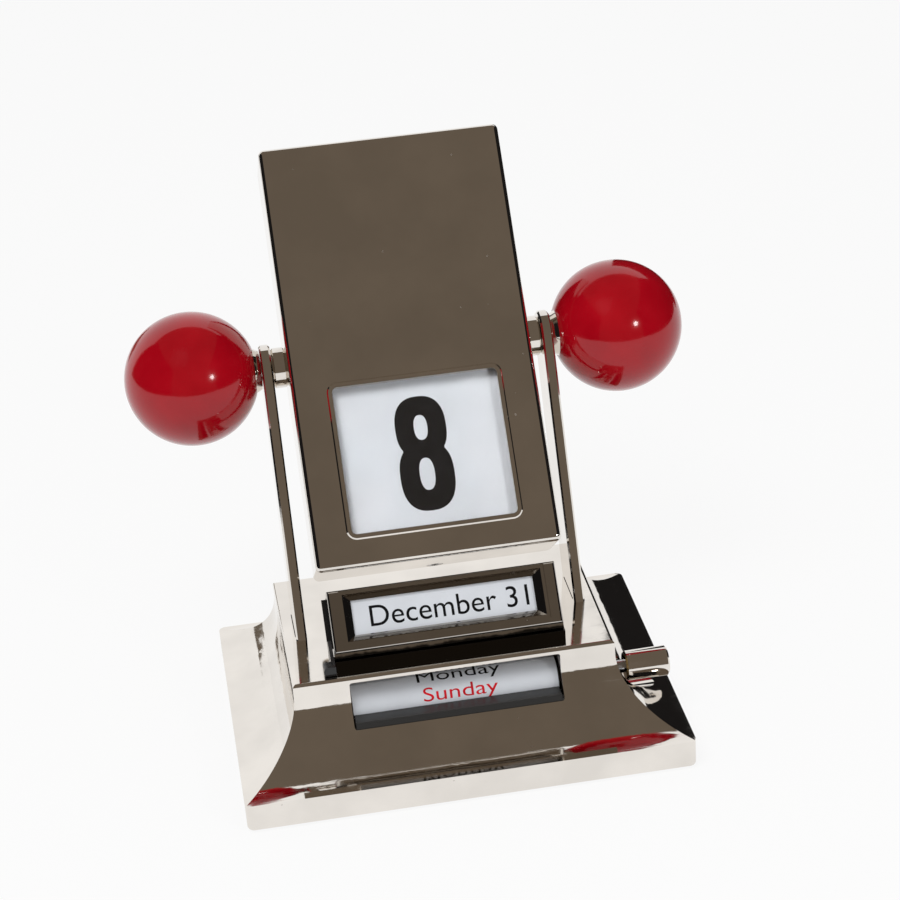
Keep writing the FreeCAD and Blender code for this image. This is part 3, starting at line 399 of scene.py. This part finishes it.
def paper_finish(name, colour, gloss):
    """Card or label stock: soft fibres and a slightly uneven sheen."""
    f = Finish(name)
    fibre = f.noise(700, detail=5, stretch=(1, 2.2, 2.2))
    f.tint(f.noise(150, detail=5), shade(colour, 0.95), colour)
    f.link(f.spread(fibre, 0.3, 0.7, gloss, gloss + 0.15), f.shader.inputs["Roughness"])
    f.link(f.bump(fibre, 0.10, 0.03 * MM), f.shader.inputs["Normal"])
    return f.material


def felt_finish(name, colour):
    """Felt: loose fibres with a soft sheen."""
    f = Finish(name)
    f.set(Sheen_Weight=0.5, Sheen_Roughness=0.5, Roughness=0.95)
    fibre = f.noise(1600, detail=6, roughness=0.7)
    f.tint(fibre, shade(colour, 0.6), shade(colour, 1.8))
    f.link(f.bump(fibre, 0.8, 0.25 * MM), f.shader.inputs["Normal"])
    return f.material


def pane_finish(name):
    """Clear acrylic sheet; light passes straight through to the plates behind it."""
    f = Finish(name)
    f.set(Transmission_Weight=1.0, IOR=1.46)
    f.tint(f.noise(40), PANE_TINT, WHITE)
    f.link(f.spread(f.noise(130, detail=5), 0.5, 0.8, 0.0, 0.05), f.shader.inputs["Roughness"])
    path = f.node("ShaderNodeLightPath")
    clear = f.node("ShaderNodeBsdfTransparent")
    either = f.node("ShaderNodeMixShader")
    f.link(path.outputs["Is Shadow Ray"], either.inputs[0])
    f.link(f.shader.outputs[0], either.inputs[1])
    f.link(clear.outputs[0], either.inputs[2])
    f.link(either.outputs[0], f.output.inputs["Surface"])
    return f.material


def ink_finish(name, colour):
    """Printed ink, a little uneven at the small scale."""
    f = Finish(name)
    f.set(Specular_IOR_Level=0.15)
    f.tint(f.noise(500, detail=5), shade(colour, 0.8), shade(colour, 1.4))
    f.link(f.spread(f.noise(900, detail=3), 0.3, 0.7, 0.28, 0.45), f.shader.inputs["Roughness"])
    return f.material


def make_finishes(scene):
    """Every finish, by the slot or name that asks for it."""
    finish, lettering = scene.calendar_finish, scene.calendar_lettering
    nickel, white = tuple(finish.nickel), tuple(finish.white)
    plating = (finish.smudge, finish.scratch_depth)
    return {
        "plated_casting": nickel_finish("plated_casting", nickel, 1.0, *plating),
        "plated_case": nickel_finish("plated_case", nickel, 4.0, *plating),
        "plated_upright": nickel_finish("plated_upright", nickel, 8.0, *plating),
        "plated_knob": nickel_finish("plated_knob", nickel, 12.0, *plating),
        # Painted shade: the holder's plating darker than the rest, and near-black below a height
        "holder_plating": nickel_finish("holder_plating", shade(nickel, HOLDER_PAINTED_SHADE), 15.0,
                                        *plating, painted_shade_height=PAINTED_SHADE_HEIGHT),
        "steel_plate": turned_metal("steel_plate", STEEL, 0.35),
        "steel_screws": turned_metal("steel_screws", STEEL, 0.25),
        "steel_shaft": turned_metal("steel_shaft", STEEL, 0.20),
        "brass_bush": turned_metal("brass_bush", BRASS, 0.25),
        "felt": felt_finish("felt", FELT),
        "clear_pane": pane_finish("clear_pane"),
        "white_plate": moulded_finish("white_plate", white, 0.35),
        "white_card": paper_finish("white_card", white, 0.45),
        "white_plastic": moulded_finish("white_plastic", PLASTIC_WHITE, 0.4),
        "printed_band": paper_finish("printed_band", white, 0.30),
        "black_plastic": moulded_finish("black_plastic", PLASTIC_BLACK, 0.22),
        "guide_plastic": moulded_finish("guide_plastic", PLASTIC_GREY, 0.45),
        "red_ball": ball_finish("red_ball", tuple(finish.ball)),
        "black_ink": ink_finish("black_ink", tuple(lettering.ink)),
        "red_ink": ink_finish("red_ink", tuple(lettering.red_ink)),
        # Black of the screw drives: painted shade of their recesses
        "dark_recess": moulded_finish("dark_recess", PAINTED_RECESS_SHADE, 0.6),
    }


def finish_named(name):
    """A finish that was made before."""
    if name not in bpy.data.materials:
        raise RuntimeError("the finishes are made first: " + name)
    return bpy.data.materials[name]


# Meshes

def add_mesh(name, points, faces):
    """New object at the origin from points and faces."""
    mesh = bpy.data.meshes.new(name)
    mesh.from_pydata(points, [], faces)
    mesh.validate()
    mesh.update()
    made = bpy.data.objects.new(name, mesh)
    bpy.context.scene.collection.objects.link(made)
    return made


def close_outwards(piece):
    """Turns every face of a closed piece outwards."""
    shape = bmesh.new()
    shape.from_mesh(piece.data)
    bmesh.ops.recalc_face_normals(shape, faces=shape.faces[:])
    shape.to_mesh(piece.data)
    shape.free()


def place_piece(piece, body, finish):
    """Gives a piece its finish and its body."""
    piece.data.materials.clear()
    piece.data.materials.append(finish_named(finish))
    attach(piece, body)
    return piece


def mesh_of_curve(name, data):
    """Turns text or a flat curve into a plain mesh at the origin."""
    holder = bpy.data.objects.new(name + "_outline", data)
    bpy.context.scene.collection.objects.link(holder)
    bpy.context.view_layer.update()
    depsgraph = bpy.context.evaluated_depsgraph_get()
    mesh = bpy.data.meshes.new_from_object(holder.evaluated_get(depsgraph))
    bpy.data.objects.remove(holder)
    bpy.data.curves.remove(data)
    made = bpy.data.objects.new(name, mesh)
    bpy.context.scene.collection.objects.link(made)
    return made


def flat_text(name, words, cap_height, weight=0.0, stretch=1.0):
    """Letters in the XY plane, middle at the origin, baseline on the X axis."""
    data = bpy.data.curves.new(name, "FONT")
    data.body = words
    data.size = 1.0
    data.offset = weight
    data.resolution_u = 6
    data.align_x = "CENTER"
    made = mesh_of_curve(name, data)
    share = cap_height / CAP_SHARE
    made.data.transform(Matrix.Diagonal((share * stretch, share, 1, 1)))
    return made


def bowl_outline(bowl, numeral_half_width, numeral_half_height):
    """Closed rounded outline, fuller than an ellipse, from a bowl's shares of the numeral."""
    width_share, low_share, high_share, squareness = bowl
    half_width = width_share * numeral_half_width
    low, high = low_share * numeral_half_height, high_share * numeral_half_height
    middle, half_height = (low + high) / 2, (high - low) / 2
    points = []
    for i in range(BOWL_POINTS):
        turn = 2 * math.pi * i / BOWL_POINTS
        c, s = math.cos(turn), math.sin(turn)
        x = half_width * math.copysign(abs(c) ** squareness, c)
        y = middle + half_height * math.copysign(abs(s) ** squareness, s)
        points.append((x, y))
    return points


def eight_outline(half_width, half_height):
    """Outer contour of a condensed bold eight: two full bowls that meet at a narrow waist."""
    waist = EIGHT_WAIST * half_height
    upper = bowl_outline(EIGHT_UPPER, half_width, half_height)
    lower = bowl_outline(EIGHT_LOWER, half_width, half_height)
    points = []
    for i in range(EIGHT_STEPS + 1):
        y = half_height * math.cos(math.pi * i / EIGHT_STEPS)
        reach = max(width_at(upper, y), width_at(lower, y))
        notch = math.exp(-((y - waist) / (EIGHT_NOTCH_HEIGHT * half_height)) ** 2)
        points.append((reach * (1 - EIGHT_NOTCH_DEPTH * notch), y))
    left = [(-x, y) for x, y in reversed(points[1:-1])]
    return points + left


def width_at(outline, y):
    """Half width of a closed outline at one height."""
    reach = 0.0
    for (x0, y0), (x1, y1) in zip(outline, outline[1:] + outline[:1]):
        if (y0 - y) * (y1 - y) <= 0 and abs(y1 - y0) > 1e-12:
            reach = max(reach, x0 + (x1 - x0) * (y - y0) / (y1 - y0))
    return reach


def flat_outlines(name, outlines):
    """Filled flat shape; inner outlines are holes."""
    data = bpy.data.curves.new(name, "CURVE")
    data.dimensions = "2D"
    data.fill_mode = "FRONT"
    for outline in outlines:
        spline = data.splines.new("POLY")
        spline.points.add(len(outline) - 1)
        for point, (x, y) in zip(spline.points, outline):
            point.co = (x, y, 0, 1)
        spline.use_cyclic_u = True
    return mesh_of_curve(name, data)


def lean_print(piece, x, behind, along):
    """Lays flat print on a leaning face, at a place in the case's own axes."""
    stand = Matrix.Rotation(math.pi / 2, 4, "X")
    piece.data.transform(TO_CASE @ Matrix.Translation((x, behind - PRINT_LIFT, along)) @ stand)
    return piece


def cut_across(mesh):
    """Cuts flat letters into narrow strips, so that they follow the drum's curve."""
    low, high = min(v.co.y for v in mesh.vertices), max(v.co.y for v in mesh.vertices)
    shape = bmesh.new()
    shape.from_mesh(mesh)
    for step in range(1, PRINT_STRIPS):
        level = low + (high - low) * step / PRINT_STRIPS
        bmesh.ops.bisect_plane(shape, geom=shape.verts[:] + shape.edges[:] + shape.faces[:],
                               plane_co=(0, level, 0), plane_no=(0, 1, 0))
    shape.to_mesh(mesh)
    shape.free()


def wrap_print(piece, x, turn):
    """Bends flat print round the weekday drum, baseline at one angle above the front."""
    radius = BAND_R + PRINT_LIFT
    cut_across(piece.data)
    for vertex in piece.data.vertices:
        angle = turn + vertex.co.y / radius
        vertex.co = Vector((x + vertex.co.x, DRUM.y - radius * math.cos(angle),
                            DRUM.z + radius * math.sin(angle)))
    piece.data.update()
    return piece


def across(offset, facing):
    """Distance of an offset from the line along one direction."""
    return (offset - facing * offset.dot(facing)).length


def head_places(node, facing):
    """Middle of every screw head of a node: the outermost ring of points along one direction."""
    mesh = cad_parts[node].data.copy()
    shape = bmesh.new()
    shape.from_mesh(mesh)
    bmesh.ops.remove_doubles(shape, verts=shape.verts[:], dist=HEAD_MERGE)
    places = []
    left = set(shape.verts)
    while left:
        island, edge = set(), [left.pop()]
        while edge:
            vertex = edge.pop()
            island.add(vertex)
            near = {link.other_vert(vertex) for link in vertex.link_edges} & left
            left -= near
            edge += list(near)
        height = max(v.co.dot(facing) for v in island)
        ring = [v.co for v in island if v.co.dot(facing) > height - HEAD_RING]
        middle = sum(ring, Vector()) / len(ring)
        reach = max((v - middle).length for v in ring)
        widest = max(across(v.co - middle, facing) for v in island)
        if reach > HEAD_SHARE * widest:
            places.append(middle + facing * PRINT_LIFT)
    shape.free()
    bpy.data.meshes.remove(mesh)
    return places


def drive_tree():
    """Two crossed bars on every point, with named sizes."""
    if "screw_drives" in bpy.data.node_groups:
        return bpy.data.node_groups["screw_drives"]
    tree = bpy.data.node_groups.new("screw_drives", "GeometryNodeTree")
    face = tree.interface
    face.new_socket("Geometry", in_out="INPUT", socket_type="NodeSocketGeometry")
    for key in ("Length", "Width", "Depth"):
        face.new_socket(key, in_out="INPUT", socket_type="NodeSocketFloat")
    face.new_socket("Material", in_out="INPUT", socket_type="NodeSocketMaterial")
    face.new_socket("Geometry", in_out="OUTPUT", socket_type="NodeSocketGeometry")
    given = tree.nodes.new("NodeGroupInput")
    result = tree.nodes.new("NodeGroupOutput")
    join = tree.nodes.new("GeometryNodeJoinGeometry")
    for order in (("Length", "Width", "Depth"), ("Width", "Length", "Depth")):
        size = tree.nodes.new("ShaderNodeCombineXYZ")
        for axis, key in zip("XYZ", order):
            tree.links.new(given.outputs[key], size.inputs[axis])
        bar = tree.nodes.new("GeometryNodeMeshCube")
        tree.links.new(size.outputs[0], bar.inputs["Size"])
        tree.links.new(bar.outputs["Mesh"], join.inputs[0])
    spread = tree.nodes.new("GeometryNodeInstanceOnPoints")
    real = tree.nodes.new("GeometryNodeRealizeInstances")
    paint = tree.nodes.new("GeometryNodeSetMaterial")
    tree.links.new(given.outputs["Geometry"], spread.inputs["Points"])
    tree.links.new(join.outputs[0], spread.inputs["Instance"])
    tree.links.new(spread.outputs[0], real.inputs[0])
    tree.links.new(real.outputs[0], paint.inputs["Geometry"])
    tree.links.new(given.outputs["Material"], paint.inputs["Material"])
    tree.links.new(paint.outputs[0], result.inputs[0])
    return tree


def grow(holder, tree, sizes):
    """Runs a node tree on an object and keeps the result as a plain mesh."""
    modifier = holder.modifiers.new(tree.name, "NODES")
    modifier.node_group = tree
    values = dict(sizes, Material=finish_named("dark_recess"))
    for socket in tree.interface.items_tree:
        if socket.in_out == "INPUT" and socket.name in values:
            modifier[socket.identifier] = values[socket.name]
    bpy.context.view_layer.update()
    depsgraph = bpy.context.evaluated_depsgraph_get()
    mesh = bpy.data.meshes.new_from_object(holder.evaluated_get(depsgraph))
    name = holder.name
    bpy.data.objects.remove(holder)
    made = bpy.data.objects.new(name, mesh)
    bpy.context.scene.collection.objects.link(made)
    return made


def node_slots():
    """Material slot of every CAD node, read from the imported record's material of its mesh."""
    return {name: node.data.materials[0].name.split(".")[0]
            for name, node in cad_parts.items() if node.data.materials}


# Operators, one for each piece or group of like pieces

class CALENDAR_OT_finishes(bpy.types.Operator):
    """Make the finishes and give every CAD node its own"""
    bl_idname = "calendar.finishes"
    bl_label = "Finishes"

    def execute(self, context):
        slots = node_slots()
        finishes = make_finishes(context.scene)
        for name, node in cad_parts.items():
            slot = NODE_FINISH.get(name, slots.get(name))
            if slot not in finishes:
                raise RuntimeError("no finish for " + name + ": " + str(slot))
            node.data.materials.clear()
            node.data.materials.append(finishes[slot])
        return {"FINISHED"}


class CALENDAR_OT_day_numeral(bpy.types.Operator):
    """Print the day on the front date plate"""
    bl_idname = "calendar.day_numeral"
    bl_label = "Day numeral"

    def execute(self, context):
        lettering = context.scene.calendar_lettering
        half_width, half_height = lettering.day_width / 2, lettering.day_height / 2
        if lettering.day_number == "8":
            holes = [bowl_outline(hole, half_width, half_height)
                     for hole in (EIGHT_UPPER_HOLE, EIGHT_LOWER_HOLE)]
            numeral = flat_outlines("day_numeral",
                                    [eight_outline(half_width, half_height)] + holes)
        else:
            numeral = flat_text("day_numeral", lettering.day_number, lettering.day_height,
                                weight=NUMERAL_WEIGHT)
            numeral.data.transform(Matrix.Translation((0, -half_height, 0)))
        low, high = leaning_box("front_date_plate")
        lean_print(numeral, NUMERAL_X, low.y, (low.z + high.z) / 2 + NUMERAL_DROP)
        place_piece(numeral, "date_stack", "black_ink")
        return {"FINISHED"}


class CALENDAR_OT_month_words(bpy.types.Operator):
    """Print the month and date on the front month card"""
    bl_idname = "calendar.month_words"
    bl_label = "Month words"

    def execute(self, context):
        lettering = context.scene.calendar_lettering
        words = flat_text("month_words", lettering.month_words, lettering.month_height)
        low, high = leaning_box("front_month_card")
        baseline = (low.z + high.z) / 2 - lettering.month_height / 2
        lean_print(words, MONTH_WORDS_X, low.y, baseline)
        place_piece(words, "month_tray", "black_ink")
        return {"FINISHED"}


class CALENDAR_OT_weekdays(bpy.types.Operator):
    """Print the seven weekdays round the drum"""
    bl_idname = "calendar.weekdays"
    bl_label = "Weekdays"

    def execute(self, context):
        lettering = context.scene.calendar_lettering
        for row, (word, ink) in enumerate(WEEKDAYS):
            print_row = flat_text("weekday_" + word.lower(), word, lettering.weekday_height,
                                  stretch=WEEKDAY_STRETCH)
            turn = WEEKDAY_FIRST_TURN + 2 * math.pi * row / len(WEEKDAYS)
            wrap_print(print_row, WEEKDAY_X, turn)
            place_piece(print_row, "weekday_roll", ink)
        return {"FINISHED"}


class CALENDAR_OT_window_shade_strip(bpy.types.Operator):
    """Lay a black strip on the sill of the weekday window in front of the drum, as painted shade
    where the drum shades the sill
    """
    bl_idname = "calendar.window_liner"
    bl_label = "Window shade strip"

    def execute(self, context):
        half = (BAND_HIGH.x - BAND_LOW.x) / 2
        count = len(SHADE_STRIP_PROFILE)
        points = [(x, y, z) for x in (-half, half) for y, z in SHADE_STRIP_PROFILE]
        faces = [(i, (i + 1) % count, count + (i + 1) % count, count + i) for i in range(count)]
        faces += [tuple(reversed(range(count))), tuple(range(count, 2 * count))]
        shade_strip = add_mesh("window_liner", points, faces)
        rounding = shade_strip.modifiers.new("rounding", "BEVEL")
        rounding.width = SHADE_STRIP_ROUNDING
        rounding.segments = 3
        close_outwards(shade_strip)
        # Painted shade: black where the drum shades the sill
        place_piece(shade_strip, "root", "black_plastic")
        return {"FINISHED"}


class CALENDAR_OT_screw_drives(bpy.types.Operator):
    """Lay a thin dark cross on the screw heads of base, holder and case: the real drive, its
    black painted shade of the recess
    """
    bl_idname = "calendar.screw_drives"
    bl_label = "Screw drives"

    def execute(self, context):
        for name, node, body, slot, facing in SCREW_HEADS:
            places = head_places(node, facing)
            if not places:
                raise RuntimeError("no screw heads found on " + node)
            points = add_mesh(name, places, [])
            grown = grow(points, drive_tree(), {"Length": DRIVE_LENGTH, "Width": DRIVE_WIDTH,
                                                "Depth": DRIVE_DEPTH})
            stand = Vector((0, 0, 1)).rotation_difference(facing).to_matrix().to_4x4()
            for vertex in grown.data.vertices:
                nearest = min(places, key=lambda place: (vertex.co - place).length)
                vertex.co = nearest + stand @ (vertex.co - nearest)
            place_piece(grown, body, "dark_recess")
        return {"FINISHED"}


class CALENDAR_OT_stage(bpy.types.Operator):
    """Set the floor, the cards, the lamps, the surroundings and the camera"""
    bl_idname = "calendar.stage"
    bl_label = "Stage"

    def execute(self, context):
        scene = context.scene
        stage = scene.calendar_stage
        scene.view_settings.view_transform = "Standard"
        set_world(scene, stage.sky)
        floor = add_card("floor", Vector((0, 0, 0)), Vector((0, 0, 1)),
                         FLOOR_SIZE, FLOOR_SIZE)
        floor.data.materials.append(floor_finish(tuple(stage.floor)))
        for name, place, facing, width, height, tone in CARDS:
            card = add_card(name, Vector(place), Vector(facing), width, height)
            colour = tuple(stage.front_card) if tone == "front" else tuple(stage.dark_card)
            card.data.materials.append(card_finish(name, colour))
            card.visible_camera = False
            card.visible_diffuse = False
            card.visible_shadow = False
        for name, place, share, size, mirrored in LAMPS:
            lamp = add_lamp(name, place, stage.lamp * share, size)
            lamp.visible_glossy = mirrored
        set_camera(scene)
        return {"FINISHED"}


# Stage

def add_card(name, place, facing, width, height):
    """Flat rectangle about a place, facing one way."""
    facing = facing.normalized()
    side = Vector((0, 0, 1)).cross(facing)
    side = Vector((1, 0, 0)) if side.length < 1e-6 else side.normalized()
    up = facing.cross(side)
    corners = [place + side * (sx * width / 2) + up * (sy * height / 2)
               for sx, sy in ((-1, -1), (1, -1), (1, 1), (-1, 1))]
    return add_mesh(name, corners, [(0, 1, 2, 3)])


def floor_finish(colour):
    """Pale floor that still shows the object's shadow, white to the camera and in mirrors."""
    f = Finish("floor_pale")
    f.set(Roughness=0.9, Specular_IOR_Level=0.0)
    f.tint(f.noise(3), shade(colour, 0.995), colour)
    path = f.node("ShaderNodeLightPath")
    seen = f.add(path.outputs["Is Camera Ray"], path.outputs["Is Glossy Ray"])
    seen = f.add(seen, path.outputs["Is Transmission Ray"])
    share = f.spread(seen, 0.0, 1.0, 0.0, FLOOR_WHITE_SHARE)
    glow = f.node("ShaderNodeEmission", {"Strength": 1.0, "Color": WHITE})
    both = f.node("ShaderNodeMixShader")
    f.link(share, both.inputs[0])
    f.link(f.shader.outputs[0], both.inputs[1])
    f.link(glow.outputs[0], both.inputs[2])
    f.link(both.outputs[0], f.output.inputs["Surface"])
    return f.material


def card_finish(name, colour):
    """Even glow of one colour."""
    f = Finish(name)
    glow = f.node("ShaderNodeEmission", {"Strength": 1.0, "Color": colour})
    f.link(glow.outputs[0], f.output.inputs["Surface"])
    return f.material


def set_world(scene, strength):
    """White surroundings for camera and mirrors, with a light of their own strength."""
    world = bpy.data.worlds.new("surroundings")
    world.use_nodes = True
    scene.world = world
    tree = world.node_tree
    background = tree.nodes["Background"]
    background.inputs["Color"].default_value = WHITE
    path = tree.nodes.new("ShaderNodeLightPath")
    seen = path.outputs["Is Camera Ray"]
    for ray in ("Is Glossy Ray", "Is Transmission Ray"):
        both = tree.nodes.new("ShaderNodeMath")
        both.operation = "ADD"
        tree.links.new(seen, both.inputs[0])
        tree.links.new(path.outputs[ray], both.inputs[1])
        seen = both.outputs[0]
    level = tree.nodes.new("ShaderNodeMapRange")
    level.inputs["To Min"].default_value = strength
    level.inputs["To Max"].default_value = 1.0
    tree.links.new(seen, level.inputs["Value"])
    tree.links.new(level.outputs["Result"], background.inputs["Strength"])


def add_lamp(name, place, power, size):
    """Round lamp that points at the object."""
    data = bpy.data.lights.new(name, "AREA")
    data.energy = power
    data.shape = "DISK"
    data.size = size
    lamp = bpy.data.objects.new(name, data)
    bpy.context.scene.collection.objects.link(lamp)
    lamp.location = place
    aim = LAMP_AIM - Vector(place)
    lamp.rotation_euler = aim.to_track_quat("-Z", "Y").to_euler()
    return lamp


def set_camera(scene):
    """Camera at the photograph's place, with its roll."""
    forward = Vector((math.sin(CAMERA_YAW) * math.cos(CAMERA_PITCH),
                      math.cos(CAMERA_YAW) * math.cos(CAMERA_PITCH), -math.sin(CAMERA_PITCH)))
    level = Vector((math.cos(CAMERA_YAW), -math.sin(CAMERA_YAW), 0))
    down = forward.cross(level)
    right = math.cos(CAMERA_ROLL) * level + math.sin(CAMERA_ROLL) * down
    down = -math.sin(CAMERA_ROLL) * level + math.cos(CAMERA_ROLL) * down
    data = bpy.data.cameras.new("camera")
    data.lens = CAMERA_LENS
    data.sensor_width = CAMERA_SENSOR
    data.clip_start = CAMERA_NEAR
    camera = bpy.data.objects.new("camera", data)
    scene.collection.objects.link(camera)
    turn = Matrix((right, -down, -forward)).transposed().to_4x4()
    camera.matrix_world = Matrix.Translation(CAMERA_PLACE) @ turn
    scene.camera = camera


class CALENDAR_PT_panel(bpy.types.Panel):
    """Sizes, colours and pieces of the calendar"""
    bl_idname = "CALENDAR_PT_panel"
    bl_label = "Desk calendar"
    bl_space_type = "VIEW_3D"
    bl_region_type = "UI"
    bl_category = "Calendar"

    def draw(self, context):
        scene = context.scene
        for group in (scene.calendar_lettering, scene.calendar_finish, scene.calendar_stage):
            column = self.layout.column()
            for key in group.__annotations__:
                column.prop(group, key)
        for operator in OPERATORS:
            self.layout.operator(operator.bl_idname)


OPERATORS = (CALENDAR_OT_finishes, CALENDAR_OT_day_numeral, CALENDAR_OT_month_words,
             CALENDAR_OT_weekdays, CALENDAR_OT_window_shade_strip, CALENDAR_OT_screw_drives,
             CALENDAR_OT_stage)
GROUPS = (CalendarLettering, CalendarFinish, CalendarStage)
CLASSES = GROUPS + OPERATORS + (CALENDAR_PT_panel,)


def register():
    for each in CLASSES:
        bpy.utils.register_class(each)
    bpy.types.Scene.calendar_lettering = bpy.props.PointerProperty(type=CalendarLettering)
    bpy.types.Scene.calendar_finish = bpy.props.PointerProperty(type=CalendarFinish)
    bpy.types.Scene.calendar_stage = bpy.props.PointerProperty(type=CalendarStage)


def unregister():
    del bpy.types.Scene.calendar_stage
    del bpy.types.Scene.calendar_finish
    del bpy.types.Scene.calendar_lettering
    for each in reversed(CLASSES):
        bpy.utils.unregister_class(each)


def main():
    register()
    bpy.ops.calendar.finishes()
    bpy.ops.calendar.day_numeral()
    bpy.ops.calendar.month_words()
    bpy.ops.calendar.weekdays()
    bpy.ops.calendar.window_liner()
    bpy.ops.calendar.screw_drives()
    bpy.ops.calendar.stage()


if __name__ == "__main__":
    main()
